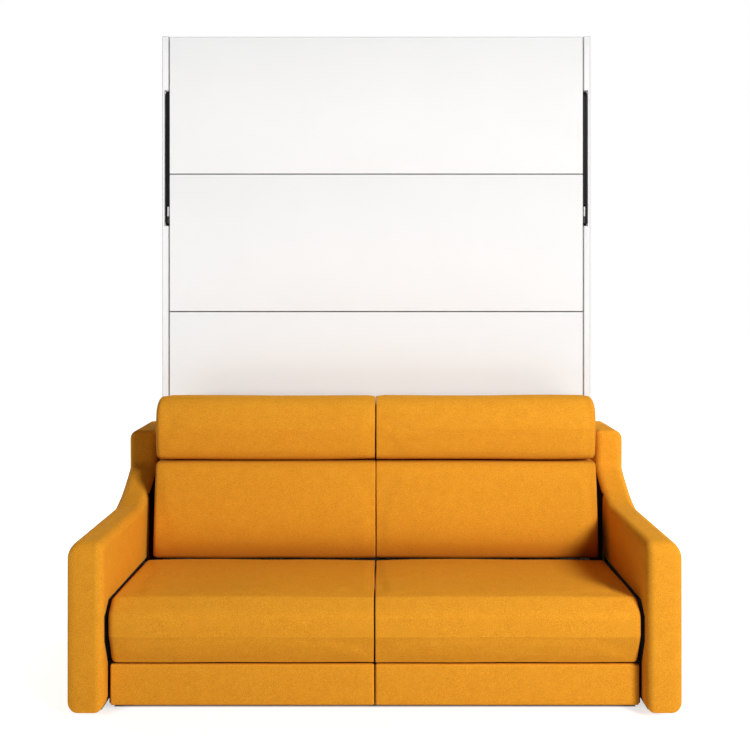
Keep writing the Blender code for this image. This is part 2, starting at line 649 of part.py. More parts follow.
def sofa_base():
    bottom = FOOT_HEIGHT + FIT
    outer = ARM_INNER - FIT
    depths = (BASE_REAR_FRONT + FIT, BASE_FRONT)
    centre = BASE_PANEL / 2
    made = board("base_divider", (-centre, centre), depths, (bottom, BASE_TOP - FIT), PLYWOOD)
    cleat_depths = (BOX_REAR, BASE_FRONT - CLEAT)
    cleat_heights = (CLEAT_FOOT, BOX_FOOT - FIT)
    cleat = bmesh.new()
    add_box(cleat, (-centre - CLEAT, centre + CLEAT), cleat_depths, cleat_heights)
    boolean(made, cleat, "base_divider_cleat", "UNION")
    for side, xs in both((BASE_SIDE_INNER, outer)):
        name = SIDE_NAMES[side]
        made = board(name + "_base_side", xs, depths, (bottom, BASE_TOP - FIT), PLYWOOD)
        cleat = bmesh.new()
        add_box(cleat, (side * (BASE_SIDE_INNER - CLEAT), side * (BASE_SIDE_INNER + BASE_PANEL / 2)),
                cleat_depths, cleat_heights)
        boolean(made, cleat, name + "_base_cleat", "UNION")
    board("base_rear_panel", (-outer, outer), (BASE_REAR_FRONT - BASE_PANEL, BASE_REAR_FRONT),
          (bottom, BASE_TOP + BASE_PANEL), PLYWOOD)
    board("seat_board", (-outer, outer), depths, (BASE_TOP, BASE_TOP + BASE_PANEL), PLYWOOD)
    seat = [(SEAT_REAR, SEAT_BOTTOM, CUSHION_EDGE), (SEAT_FOOT_FORWARD, SEAT_BOTTOM, CUSHION_EDGE / 2),
            (SEAT_BULGE, SEAT_BULGE_FOOT, CUSHION_EDGE * 2), (SEAT_BULGE, SEAT_BULGE_TOP, CUSHION_EDGE * 2),
            (SEAT_EDGE_FORWARD, SEAT_TOP_FRONT, CUSHION_EDGE * 2),
            (SEAT_REAR, SEAT_TOP_REAR, CUSHION_EDGE / 2)]
    for side in (-1, 1):
        xs = (side * SEAT_GAP, side * SEAT_HALF)
        padded(SIDE_NAMES[side] + "_seat_cushion", seat, xs, CUSHION_EDGE / 2, SEAT_SIDE_ROUND, SEAT_CROWN)


# Drawers: an open box behind a padded front, running on a cleat at each side
CLEAT = 0.020
CLEAT_FOOT = 0.024
BOX_FOOT = 0.038
BOX_TOP = 0.123
BOX_WALL = 0.012
BOX_REAR = 0.398
BOX_SIDE_GAP = 0.0015


def drawers():
    x0 = BASE_PANEL / 2 + BOX_SIDE_GAP
    x1 = BASE_SIDE_INNER - BOX_SIDE_GAP
    for side in (-1, 1):
        name = SIDE_NAMES[side]
        box = board(name + "_drawer_box", (side * x0, side * x1), (BOX_REAR, BASE_FRONT),
                    (BOX_FOOT, BOX_TOP), PLYWOOD)
        hollow = bmesh.new()
        add_box(hollow, (side * (x0 + BOX_WALL), side * (x1 - BOX_WALL)),
                (BOX_REAR + BOX_WALL, BASE_FRONT - BOX_WALL), (BOX_FOOT + BOX_WALL, BOX_TOP + OVERRUN))
        boolean(box, hollow, name + "_drawer_hollow")
        edge = DRAWER_FACE / 3
        front = DRAWER_FACE_REAR + DRAWER_FACE
        outline = [(DRAWER_FACE_REAR, FOOT_HEIGHT + FIT, 0), (front, FOOT_HEIGHT + FIT, edge),
                   (front, DRAWER_TOP, edge), (DRAWER_FACE_REAR, DRAWER_TOP, 0)]
        padded(name + "_drawer_front", outline, (side * CUSHION_GAP, side * DRAWER_HALF), edge, edge)


# Arms: a plywood core in a padded cover, bolted to the cabinet's side behind its front edge
ARM_TAIL = 0.106
ARM_TOP = 0.527
ARM_BLOCK_TOP = 0.758
ARM_BLOCK_FRONT = 0.161
ARM_SWEEP_LENGTH = 0.202
ARM_SWEEP_HEIGHT = 0.106
ARM_SWEEP_SAG = 0.012
ARM_FRONT_ROUND = 0.032
ARM_TOE_ROUND = 0.004
ARM_BLOCK_ROUND = 0.012
ARM_INNER_ROUND = 0.026
ARM_OUTER_ROUND = 0.034
ARM_SHARES = (0.2, 1.35)
SWEEP_STEPS = 7
CORE_DEEP = 0.034
CORE_NEAR = ARM_INNER + CORE_DEEP
CORE_THICK = 0.030
CORE_MARGIN = 0.045
RECESS_FRONT = 0.276
RECESS_TOP = 0.635
RECESS_COVER = 0.012
RECESS = 0.016
SKID_INSET = 0.070
SKID_MARGIN = 0.012


def arm_sweep(margin):
    """The shallow hollow slope from the arm's top up to its block, from front to rear."""
    parts = [k / SWEEP_STEPS for k in range(SWEEP_STEPS + 1)]
    return [(ARM_BLOCK_FRONT - margin + ARM_SWEEP_LENGTH * (1 - part),
             ARM_TOP - margin + ARM_SWEEP_HEIGHT * part - ARM_SWEEP_SAG * math.sin(math.pi * part))
            for part in parts]


def arm_outline(margin, foot):
    """The arm seen from its side, drawn in by a margin."""
    tail = -ARM_TAIL + margin
    front = SOFA_REACH - margin
    block = ARM_BLOCK_TOP - margin
    corners = [(tail, foot, 0), (front, foot, ARM_TOE_ROUND), (front, ARM_TOP - margin, ARM_FRONT_ROUND)]
    corners += [(f, z, 0) for f, z in arm_sweep(margin)]
    return corners + [(ARM_BLOCK_FRONT - margin, block, ARM_BLOCK_ROUND), (tail, block, ARM_BLOCK_ROUND)]


def arms():
    for side in (-1, 1):
        name = SIDE_NAMES[side]
        inside = side * (ARM_INNER - OVERRUN)
        cover = padded(name + "_arm_cover", arm_outline(0, FOOT_HEIGHT + FIT),
                       (side * ARM_INNER, side * ARM_HALF), ARM_INNER_ROUND, ARM_OUTER_ROUND,
                       shares=ARM_SHARES)
        rebate = bmesh.new()
        beside = side * (INNER_HALF + PANEL + FIT)
        add_box(rebate, (inside, beside), (FIT, -ARM_TAIL - OVERRUN), (0, CABINET_HEIGHT))
        boolean(cover, rebate, name + "_arm_rebate")
        under = [(f, z) for f, z in arm_sweep(RECESS_COVER) if f < RECESS_FRONT and z < RECESS_TOP]
        recess = bmesh.new()
        prism(recess, [(0, 0), (RECESS_FRONT, 0), (RECESS_FRONT, under[0][1]), *under,
                       (under[-1][0], RECESS_TOP), (0, RECESS_TOP)],
              (inside, side * (ARM_INNER + RECESS)))
        boolean(cover, recess, name + "_arm_recess")
        core_outline = rounded(arm_outline(CORE_MARGIN, FOOT_HEIGHT + FIT))
        core = bmesh.new()
        prism(core, core_outline, (side * CORE_NEAR, side * (CORE_NEAR + CORE_THICK)))
        finish(core, name + "_arm_core", PLYWOOD)
        pocket = bmesh.new()
        prism(pocket, rounded(arm_outline(CORE_MARGIN - FIT, 0)),
              (side * (CORE_NEAR - FIT), side * (CORE_NEAR + CORE_THICK + FIT)))
        boolean(cover, pocket, name + "_core_pocket")
        skid = (side * (CORE_NEAR - SKID_MARGIN), side * (CORE_NEAR + CORE_THICK + SKID_MARGIN))
        board(name + "_arm_skid", skid, (SKID_INSET - ARM_TAIL, SOFA_REACH - SKID_INSET), (0, FOOT_HEIGHT),
              BLACK_PLASTIC)


clear_scene()
side_panels()
cabinet_boards()
mechanism_plates()
gas_springs()
bed_frame()
legs()
sofa_back()
sofa_base()
drawers()
arms()
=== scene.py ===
import json
import math

import bmesh
import bpy
from mathutils import Matrix, Vector, noise

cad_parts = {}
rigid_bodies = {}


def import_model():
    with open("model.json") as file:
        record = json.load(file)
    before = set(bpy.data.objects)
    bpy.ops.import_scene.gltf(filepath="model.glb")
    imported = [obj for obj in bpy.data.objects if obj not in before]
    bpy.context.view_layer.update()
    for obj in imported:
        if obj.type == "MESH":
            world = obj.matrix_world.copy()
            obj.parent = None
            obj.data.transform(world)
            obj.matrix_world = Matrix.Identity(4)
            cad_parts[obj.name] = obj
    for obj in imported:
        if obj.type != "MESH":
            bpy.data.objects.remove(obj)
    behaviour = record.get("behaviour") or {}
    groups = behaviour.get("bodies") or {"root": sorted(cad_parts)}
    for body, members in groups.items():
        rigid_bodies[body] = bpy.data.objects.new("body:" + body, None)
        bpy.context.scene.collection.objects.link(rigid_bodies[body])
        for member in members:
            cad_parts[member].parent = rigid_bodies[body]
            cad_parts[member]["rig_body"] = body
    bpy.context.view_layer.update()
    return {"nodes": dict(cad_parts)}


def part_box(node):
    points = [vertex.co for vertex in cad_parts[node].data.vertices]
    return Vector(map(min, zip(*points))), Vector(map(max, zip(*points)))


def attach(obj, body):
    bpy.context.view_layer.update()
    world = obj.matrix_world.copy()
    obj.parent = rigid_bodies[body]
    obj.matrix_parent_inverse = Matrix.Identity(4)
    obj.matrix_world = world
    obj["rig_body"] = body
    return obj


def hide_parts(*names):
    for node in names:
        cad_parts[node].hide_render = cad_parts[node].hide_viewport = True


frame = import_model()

# The cabinet: melamine-faced chipboard with ironed-on edge bands, whose glue shows as a thin dark line. The sides
# stand on the floor, the top and the back are dowelled between them, and four more boards make the front, which
# is the underside of the bed.
FRONT_Y = 0.1795
BOARD_EDGE = 0.0015
WHITE = (0.86, 0.86, 0.855)
WHITE_DULL = (0.852, 0.852, 0.847)
WHITE_CLEAR = (0.868, 0.868, 0.864)
GLUE_LINE = (0.25, 0.248, 0.245)


def new_finish(name, colour, roughness, metallic=0.0, **extra):
    """A finish with its colour, roughness and other plain values on the shader's own sockets."""
    finish = bpy.data.materials.new(name)
    finish.use_nodes = True
    shader = finish.node_tree.nodes["Principled BSDF"]
    shader.inputs["Base Color"].default_value = (*colour, 1)
    shader.inputs["Roughness"].default_value = roughness
    shader.inputs["Metallic"].default_value = metallic
    for socket, value in extra.items():
        shader.inputs[socket.replace("_", " ")].default_value = value
    return finish


def speckle(finish, scale, stretch=(1, 1, 1), detail=3.0, roughness=0.6):
    """A noise pattern on the piece's own coordinates, stretched along an axis."""
    tree = finish.node_tree
    place = tree.nodes.new("ShaderNodeTexCoord")
    turn = tree.nodes.new("ShaderNodeMapping")
    turn.inputs["Scale"].default_value = stretch
    grain = tree.nodes.new("ShaderNodeTexNoise")
    grain.inputs["Scale"].default_value = scale
    grain.inputs["Detail"].default_value = detail
    grain.inputs["Roughness"].default_value = roughness
    tree.links.new(place.outputs["Object"], turn.inputs["Vector"])
    tree.links.new(turn.outputs["Vector"], grain.inputs["Vector"])
    return grain.outputs["Fac"]


def graded(finish, source, stops):
    """A colour ramp driven by a pattern."""
    ramp = finish.node_tree.nodes.new("ShaderNodeValToRGB")
    while len(ramp.color_ramp.elements) < len(stops):
        ramp.color_ramp.elements.new(0.5)
    for element, (at, colour) in zip(ramp.color_ramp.elements, stops):
        element.position = at
        element.color = (*colour, 1)
    finish.node_tree.links.new(source, ramp.inputs["Fac"])
    return ramp.outputs["Color"]


def ranged(finish, source, low, high):
    """A pattern's middle half mapped to a low and a high value."""
    spread = finish.node_tree.nodes.new("ShaderNodeMapRange")
    spread.inputs["From Min"].default_value = 0.3
    spread.inputs["From Max"].default_value = 0.7
    spread.inputs["To Min"].default_value = low
    spread.inputs["To Max"].default_value = high
    finish.node_tree.links.new(source, spread.inputs["Value"])
    return spread.outputs["Result"]


def raised(finish, source, depth, strength=1.0, under=None):
    """A bump from a pattern, over another bump if there is one."""
    bump = finish.node_tree.nodes.new("ShaderNodeBump")
    bump.inputs["Distance"].default_value = depth
    bump.inputs["Strength"].default_value = strength
    finish.node_tree.links.new(source, bump.inputs["Height"])
    if under:
        finish.node_tree.links.new(under, bump.inputs["Normal"])
    return bump.outputs["Normal"]


def shade_with(finish, **sources):
    """Joins patterns to the shader's sockets."""
    shader = finish.node_tree.nodes["Principled BSDF"]
    for socket, source in sources.items():
        finish.node_tree.links.new(source, shader.inputs[socket.replace("_", " ")])


melamine = new_finish("white_melamine", WHITE, 0.55, Specular_IOR_Level=0.3)
clouded = speckle(melamine, 3.0, detail=2.0)
shade_with(melamine,
           Base_Color=graded(melamine, clouded, ((0.3, WHITE_DULL), (0.7, WHITE_CLEAR))),
           Roughness=ranged(melamine, speckle(melamine, 40), 0.50, 0.60),
           Normal=raised(melamine, speckle(melamine, 900), 0.0002, 0.25))

glue_line = new_finish("edge_band_glue_line", GLUE_LINE, 0.6, Specular_IOR_Level=0.3)
shade_with(glue_line, Roughness=ranged(glue_line, speckle(glue_line, 60), 0.52, 0.68))


def solid_mesh(node):
    """The frame's solid as one clean closed mesh, without its loose triangles."""
    form = bmesh.new()
    form.from_mesh(frame["nodes"][node].data)
    bmesh.ops.remove_doubles(form, verts=form.verts, dist=0.00002)
    bmesh.ops.dissolve_limit(form, angle_limit=math.radians(0.5), verts=form.verts, edges=form.edges)
    return form


def settle(piece, nodes, finish=None):
    """Puts a finished piece in the place of the frame's solids, on their body, with a finish if one is given."""
    nodes = [nodes] if isinstance(nodes, str) else list(nodes)
    if finish:
        piece.data.materials.clear()
        piece.data.materials.append(finish)
    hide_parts(*nodes)
    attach(piece, frame["nodes"][nodes[0]]["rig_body"])
    return piece


def shown(name, form, smooth=None):
    """A mesh object from a form, smooth across edges flatter than an angle in degrees."""
    mesh = bpy.data.meshes.new(name)
    form.to_mesh(mesh)
    form.free()
    if smooth:
        mesh.set_sharp_from_angle(angle=math.radians(smooth))
    piece = bpy.data.objects.new(name, mesh)
    bpy.context.scene.collection.objects.link(piece)
    return piece


def eased(node, edge, finish, smooth=50, steps=2, edge_finish=None):
    """The frame's solid with its sharp edges broken, as a board's or a plate's are."""
    form = solid_mesh(node)
    sharp = [e for e in form.edges if e.is_manifold and e.calc_face_angle() > math.radians(40)]
    bmesh.ops.bevel(form, geom=sharp, offset=edge, segments=steps, profile=0.5, affect="EDGES",
                    clamp_overlap=True, material=1 if edge_finish else -1)
    piece = shown(node + "_piece", form, smooth)
    for coat in filter(None, (finish, edge_finish)):
        piece.data.materials.append(coat)
    return settle(piece, node)


for board in ("left_side_panel", "right_side_panel", "top_panel", "back_panel", "rear_base_rail",
              "upper_face_board", "middle_face_board", "lower_face_board", "bottom_face_board"):
    eased(board, BOARD_EDGE, melamine, edge_finish=glue_line)

# The mechanism: laser-cut steel plates in black powder coat, a turned pin welded to each cabinet plate, and
# zinc-plated angle brackets, bolts and screws. The plates are screwed to the cabinet's sides and the bed's rails,
# and a row of pan-head screws holds each edge of the back sheet.
PLATE_EDGE = 0.0004
BLACK_COAT = (0.0055, 0.0055, 0.006)
ZINC = (0.56, 0.57, 0.58)
ZINC_DULL = (0.50, 0.51, 0.53)
ZINC_CLEAR = (0.62, 0.62, 0.61)

black_coat = new_finish("black_powder_coat", BLACK_COAT, 0.6, 0.0, Specular_IOR_Level=0.12)
shade_with(black_coat,
           Roughness=ranged(black_coat, speckle(black_coat, 90), 0.50, 0.62),
           Normal=raised(black_coat, speckle(black_coat, 1400), 0.0002, 0.5))

zinc = new_finish("zinc_plate", ZINC, 0.34, 1.0)
shade_with(zinc,
           Base_Color=graded(zinc, speckle(zinc, 60), ((0.3, ZINC_DULL), (0.7, ZINC_CLEAR))),
           Roughness=ranged(zinc, speckle(zinc, 260, (1, 1, 0.1)), 0.26, 0.42))

for side in ("left", "right"):
    eased(side + "_wall_plate", PLATE_EDGE, black_coat)
    eased(side + "_bed_plate", PLATE_EDGE, black_coat)
    eased(side + "_corner_bracket", PLATE_EDGE, zinc)
    eased(side + "_leg_bolt", PLATE_EDGE, zinc)


def laid_along(name, unit, path, count, finish):
    """Copies of a unit laid at equal steps along a path by Geometry Nodes, baked to one plain mesh."""
    tree = bpy.data.node_groups.new(name + "_layout", "GeometryNodeTree")
    for label, kind in (("Path", "Geometry"), ("Unit", "Object"), ("Count", "Int"), ("Finish", "Material")):
        tree.interface.new_socket(label, in_out="INPUT", socket_type="NodeSocket" + kind)
    tree.interface.new_socket("Laid", in_out="OUTPUT", socket_type="NodeSocketGeometry")
    nodes, links = tree.nodes, tree.links
    given = nodes.new("NodeGroupInput")
    result = nodes.new("NodeGroupOutput")
    curve = nodes.new("GeometryNodeMeshToCurve")
    spaced = nodes.new("GeometryNodeResampleCurve")
    spaced.mode = "COUNT"
    copy_of = nodes.new("GeometryNodeObjectInfo")
    placed = nodes.new("GeometryNodeInstanceOnPoints")
    real = nodes.new("GeometryNodeRealizeInstances")
    coat = nodes.new("GeometryNodeSetMaterial")
    links.new(given.outputs["Path"], curve.inputs["Mesh"])
    links.new(curve.outputs["Curve"], spaced.inputs["Curve"])
    links.new(given.outputs["Count"], spaced.inputs["Count"])
    links.new(given.outputs["Unit"], copy_of.inputs["Object"])
    links.new(spaced.outputs["Curve"], placed.inputs["Points"])
    links.new(copy_of.outputs["Geometry"], placed.inputs["Instance"])
    links.new(placed.outputs["Instances"], real.inputs["Geometry"])
    links.new(real.outputs["Geometry"], coat.inputs["Geometry"])
    links.new(given.outputs["Finish"], coat.inputs["Material"])
    links.new(coat.outputs["Geometry"], result.inputs["Laid"])
    line = bpy.data.meshes.new(name + "_path")
    line.from_pydata([tuple(p) for p in path], [(i, i + 1) for i in range(len(path) - 1)], [])
    carrier = bpy.data.objects.new(name + "_carrier", line)
    bpy.context.scene.collection.objects.link(carrier)
    layout = carrier.modifiers.new("layout", "NODES")
    layout.node_group = tree
    sockets = {item.name: item.identifier for item in tree.interface.items_tree if item.in_out == "INPUT"}
    layout[sockets["Unit"]] = unit
    layout[sockets["Count"]] = count
    layout[sockets["Finish"]] = finish
    bpy.context.view_layer.update()
    baked = bpy.data.meshes.new_from_object(carrier.evaluated_get(bpy.context.evaluated_depsgraph_get()))
    baked.name = name
    carrier.modifiers.clear()
    bpy.data.objects.remove(carrier)
    piece = bpy.data.objects.new(name, baked)
    bpy.context.scene.collection.objects.link(piece)
    if not baked.materials:
        baked.materials.append(finish)
    return piece


def ride_with(piece, node):
    """Lets an added piece move with a frame solid's body."""
    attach(piece, frame["nodes"][node]["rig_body"])
    return piece


SCREW_RADIUS = 0.0038
SCREW_DOME = 0.0013
SCREW_INSET = 0.011
SCREW_SIDES = 12
SCREW_PROFILE = ((1, 0), (0.86, 0.7), (0.45, 1), (0.30, 0.35))
SCREWS_ACROSS = 9
SCREWS_UP = 10
UP_MARGIN = 0.2
turned_screw = bmesh.new()
turns = [math.tau * k / SCREW_SIDES for k in range(SCREW_SIDES)]
corners = [(math.cos(turn), math.sin(turn)) for turn in turns]
rings = [[turned_screw.verts.new((SCREW_RADIUS * wide * x, SCREW_DOME * tall, SCREW_RADIUS * wide * z))
          for x, z in corners] for wide, tall in SCREW_PROFILE]
for inner, outer in zip(rings[1:], rings):
    for k in range(SCREW_SIDES):
        turned_screw.faces.new((outer[k], outer[k - 1], inner[k - 1], inner[k]))
turned_screw.faces.new(rings[0])
turned_screw.faces.new(rings[-1])
bmesh.ops.recalc_face_normals(turned_screw, faces=turned_screw.faces)
screw_unit = shown("screw_unit", turned_screw, 35)
low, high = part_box("back_panel")
left, right = low.x + SCREW_INSET, high.x - SCREW_INSET
sill, crest = low.z + SCREW_INSET, high.z - SCREW_INSET
for name, path, count in (
        ("back_screws_top", ((left, crest), (right, crest)), SCREWS_ACROSS),
        ("back_screws_bottom", ((left, sill), (right, sill)), SCREWS_ACROSS),
        ("back_screws_left", ((left, sill + UP_MARGIN), (left, crest - UP_MARGIN)), SCREWS_UP),
        ("back_screws_right", ((right, sill + UP_MARGIN), (right, crest - UP_MARGIN)), SCREWS_UP)):
    screws = laid_along(name, screw_unit, [(x, high.y, z) for x, z in path], count, zinc)
    ride_with(screws, "back_panel")
bpy.data.objects.remove(screw_unit)

# The gas springs: a drawn steel tube in black paint, a ground and plated rod, and a pressed eye at each end.
# The tube hangs on the cabinet plate's stud, and the rod's eye turns on the bed plate's.
for side in ("left", "right"):
    eased(side + "_gas_tube", PLATE_EDGE, black_coat)
    eased(side + "_gas_rod", PLATE_EDGE, zinc)

# The legs: a flat steel bar in black powder coat, a shorter plate riveted to its inner side, and a moulded
# rubber foot. One bolt through both hangs each leg on the bed's rail.
RUBBER = (0.018, 0.018, 0.018)
rubber = new_finish("black_rubber", RUBBER, 0.75)
shade_with(rubber,
           Roughness=ranged(rubber, speckle(rubber, 200), 0.68, 0.85),
           Normal=raised(rubber, speckle(rubber, 1800), 0.0002, 0.4))

for side in ("left", "right"):
    eased(side + "_leg_bar", PLATE_EDGE, black_coat)
    eased(side + "_leg_plate", PLATE_EDGE, black_coat)
    eased(side + "_leg_foot", PLATE_EDGE * 2, rubber)

# The bed's frame: two long rails and two end rails of birch plywood, with the grain along each board. The end
# rails are dowelled and screwed between the long ones, and the steel plates are screwed to their outer faces.
PLY = (0.66, 0.47, 0.29)
PLY_GRAIN = (0.50, 0.33, 0.18)
WOOD_EDGE = 0.0012


def wood(name, along, dark, light):
    """A wood finish with its grain along one axis."""
    finish = new_finish(name, light, 0.55)
    stretch = [14.0, 14.0, 14.0]
    stretch[along] = 0.9
    rings = speckle(finish, 1.6, stretch, 5.0, 0.62)
    fibre = speckle(finish, 26.0, stretch, 2.0)
    middle = tuple((a + b) / 2 for a, b in zip(dark, light))
    shade_with(finish,
               Base_Color=graded(finish, rings, ((0.30, light), (0.47, middle), (0.55, light), (0.72, dark))),
               Roughness=ranged(finish, fibre, 0.48, 0.64),
               Normal=raised(finish, fibre, 0.0003, 0.5))
    return finish


plywood_up = wood("plywood_grain_up", 2, PLY_GRAIN, PLY)
plywood_across = wood("plywood_grain_across", 0, PLY_GRAIN, PLY)
plywood_back = wood("plywood_grain_back", 1, PLY_GRAIN, PLY)
for side in ("left", "right"):
    eased(side + "_bed_rail", WOOD_EDGE, plywood_up)
eased("foot_end_rail", WOOD_EDGE, plywood_across)
eased("head_end_rail", WOOD_EDGE, plywood_across)

# The sofa back's timbers: three planed posts screwed to the lowest face boards, and a plywood board screwed over
# them, which the cushions are fixed to.
for post in ("left_back_post", "middle_back_post", "right_back_post"):
    eased(post, WOOD_EDGE, plywood_up)
eased("back_board", WOOD_EDGE, plywood_across)

# The seat's box: black-stained plywood sides and divider under one seat board, a plain rear panel, and a cleat on
# each side for the drawers to run on. The arms' cores are thicker plywood, and black moulded skids keep them off
# the floor.
# The black stain is the boards' finish and also painted shade: these boards show only in the gaps round the seat
# and the drawers, where their black stands in for the shade there.
GAP_SHADE_STAIN = (0.010, 0.010, 0.010)
GAP_SHADE_STAIN_DARK = (0.006, 0.006, 0.006)
GAP_SHADE_STAIN_LIGHT = (0.016, 0.015, 0.014)
black_stain_gap_shade = new_finish("black_stained_plywood", GAP_SHADE_STAIN, 0.7, Specular_IOR_Level=0.3)
stain_grain = speckle(black_stain_gap_shade, 20.0, (14, 0.9, 14), 3.0)
shade_with(black_stain_gap_shade,
           Base_Color=graded(black_stain_gap_shade, stain_grain, ((0.35, GAP_SHADE_STAIN_DARK), (0.65, GAP_SHADE_STAIN_LIGHT))),
           Roughness=ranged(black_stain_gap_shade, stain_grain, 0.62, 0.80),
           Normal=raised(black_stain_gap_shade, stain_grain, 0.0003, 0.5))
for side in ("left", "right"):
    eased(side + "_base_side", WOOD_EDGE, black_stain_gap_shade)
    eased(side + "_arm_core", WOOD_EDGE, plywood_back)
    eased(side + "_arm_skid", WOOD_EDGE * 2, rubber)
    eased(side + "_drawer_box", WOOD_EDGE, plywood_across)
eased("base_divider", WOOD_EDGE, black_stain_gap_shade)
eased("base_rear_panel", WOOD_EDGE, plywood_across)
eased("seat_board", WOOD_EDGE, black_stain_gap_shade)

# The slatted base: thirteen bowed beech slats on two ledges and a middle beam. Each slat is steamed and
# laminated with a slight crown towards the mattress, and is stapled where it crosses the ledges.
SLATS = 13
SLAT_WIDE = 0.065
SLAT_THICK = 0.0088
SLAT_CROWN = 0.0008
SLAT_EDGE = 0.0018
SLAT_BENDS = 24
LEDGE_WIDE = 0.012
LEDGE_DEEP = 0.020
BEAM_HALF = 0.015
STAPLE = (0.0010, 0.0006, 0.0090)
BEECH = (0.74, 0.56, 0.37)
BEECH_GRAIN = (0.62, 0.43, 0.26)


def box_form(form, low, high):
    """Adds a box between two corners."""
    low, high = Vector(low), Vector(high)
    size = high - low
    bmesh.ops.create_cube(form, size=1, matrix=Matrix.Translation((low + high) / 2) @ Matrix.Diagonal((*size, 1)))


beech = wood("beech_grain_across", 0, BEECH_GRAIN, BEECH)
base_low, base_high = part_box("slat_base")
slat_back = base_high.y
slat_front = slat_back - SLAT_THICK
bowed = bmesh.new()
box_form(bowed, (base_low.x, slat_front, -SLAT_WIDE / 2), (base_high.x, slat_back - SLAT_CROWN, SLAT_WIDE / 2))
bmesh.ops.subdivide_edges(bowed, edges=[e for e in bowed.edges if abs(e.verts[0].co.x - e.verts[1].co.x) > 1],
                          cuts=SLAT_BENDS)
for vertex in bowed.verts:
    share = vertex.co.x / base_high.x
    vertex.co.y += SLAT_CROWN * math.cos(share * math.pi / 2)
bmesh.ops.bevel(bowed, geom=[e for e in bowed.edges if e.calc_face_angle() > math.radians(40)],
                offset=SLAT_EDGE, segments=2, profile=0.5, affect="EDGES")
slat_unit = shown("slat_unit", bowed)
pitch = (base_high.z - base_low.z) / SLATS
lowest, highest = base_low.z + pitch / 2, base_high.z - pitch / 2
slats = laid_along("bed_slats_piece", slat_unit, [(0, 0, lowest), (0, 0, highest)], SLATS, beech)
bpy.data.objects.remove(slat_unit)
settle(slats, "slat_base")
ledges = bmesh.new()
box_form(ledges, (-BEAM_HALF, base_low.y, base_low.z), (BEAM_HALF, slat_front, base_high.z))
for side in (-1, 1):
    xs = sorted((side * base_high.x, side * (base_high.x - LEDGE_WIDE)))
    box_form(ledges, (xs[0], slat_front - LEDGE_DEEP, base_low.z), (xs[1], slat_front, base_high.z))
bmesh.ops.bevel(ledges, geom=list(ledges.edges), offset=WOOD_EDGE, segments=2, profile=0.5, affect="EDGES")
slat_ledges = shown("slat_ledges_piece", ledges, 50)
slat_ledges.data.materials.append(plywood_up)
ride_with(slat_ledges, "slat_base")

staple = bmesh.new()
box_form(staple, (-STAPLE[0] / 2, 0, -STAPLE[2] / 2), (STAPLE[0] / 2, STAPLE[1], STAPLE[2] / 2))
staple_unit = shown("staple_unit", staple)
staple_x, staple_y = base_high.x - LEDGE_WIDE / 2, slat_back - SLAT_CROWN
for side, x in (("left", -staple_x), ("right", staple_x)):
    line = [(x, staple_y, lowest), (x, staple_y, highest)]
    ride_with(laid_along(side + "_slat_staples", staple_unit, line, SLATS, zinc), "slat_base")
bpy.data.objects.remove(staple_unit)

# The mattress: a foam and spring core in woven ticking, its two faces quilted in diamonds and its border
# joined to them with a sewn tape edge. Two webbing straps round it hold it while the bed stands on end.
TICKING = (0.80, 0.80, 0.78)
TICKING_DARK = (0.72, 0.72, 0.70)
TICKING_LIGHT = (0.83, 0.83, 0.82)
WEBBING = (0.02, 0.02, 0.021)
QUILT_PITCH = 0.125
QUILT_DEPTH = 0.007
QUILT_SHARP = 4
QUILT_FADE = 0.05
FLAT_SHARE = 0.97
TAPE_RADIUS = 0.0045
TAPE_INSET = 0.42
TAPE_SINK = 0.34
TAPE_STEPS = 6
STRAP_EDGE = 0.0004
MATTRESS_ROUND = 0.030
MATTRESS_CELL = 0.0125
END_STEPS = 8
END_RIM = 0.002


def corner_arc(corners, i, steps):
    """One corner (forward, z, radius) of an outline as the points of its arc."""
    f, z, radius = corners[i]
    here = Vector((f, z))
    if radius <= 0:
        return [here]
    before = (Vector(corners[i - 1][:2]) - here).normalized()
    after = (Vector(corners[(i + 1) % len(corners)][:2]) - here).normalized()
    half = before.angle(after) / 2
    reach = radius / math.tan(half)
    middle = here + (before + after).normalized() * (radius / math.sin(half))
    first, last = here + before * reach - middle, here + after * reach - middle
    sweep = first.angle_signed(last)
    points = []
    for k in range(steps + 1):
        angle = -sweep * k / steps
        points.append(middle + Vector((first.x * math.cos(angle) - first.y * math.sin(angle),
                                       first.x * math.sin(angle) + first.y * math.cos(angle))))
    return points


def drawn_in(corners, inset, swell=0.0, facing=(0, 1), shares=(1, 1)):
    """An outline's corners moved in by an inset, and out by a swell on the side that it faces.

    The shares scale the inset at the front edge and in the upper half.
    """
    points = [Vector(corner[:2]) for corner in corners]
    area = sum(a.x * b.y - b.x * a.y for a, b in zip(points, points[1:] + points[:1]))
    sign = 1 if area > 0 else -1
    foremost = max(corner[0] for corner in corners)
    middle = (min(corner[1] for corner in corners) + max(corner[1] for corner in corners)) / 2
    moved = []
    for i, (f, z, radius) in enumerate(corners):
        after = points[(i + 1) % len(points)]
        edges = ((points[i] - points[i - 1]).normalized(), (after - points[i]).normalized())
        normals = [Vector((e.y, -e.x)) * sign for e in edges]
        mean = (normals[0] + normals[1]).normalized()
        miter = mean / max(mean.dot(normals[0]), 0.5)
        out = swell * max(0.0, mean.dot(Vector(facing))) - inset
        place = points[i] + miter * out
        if f == foremost:
            place.x = f + (place.x - f) * shares[0]
        if z > middle:
            place.y = z + (place.y - z) * shares[1]
        moved.append((place.x, place.y, max(radius - inset, radius * 0.2)))
    return moved


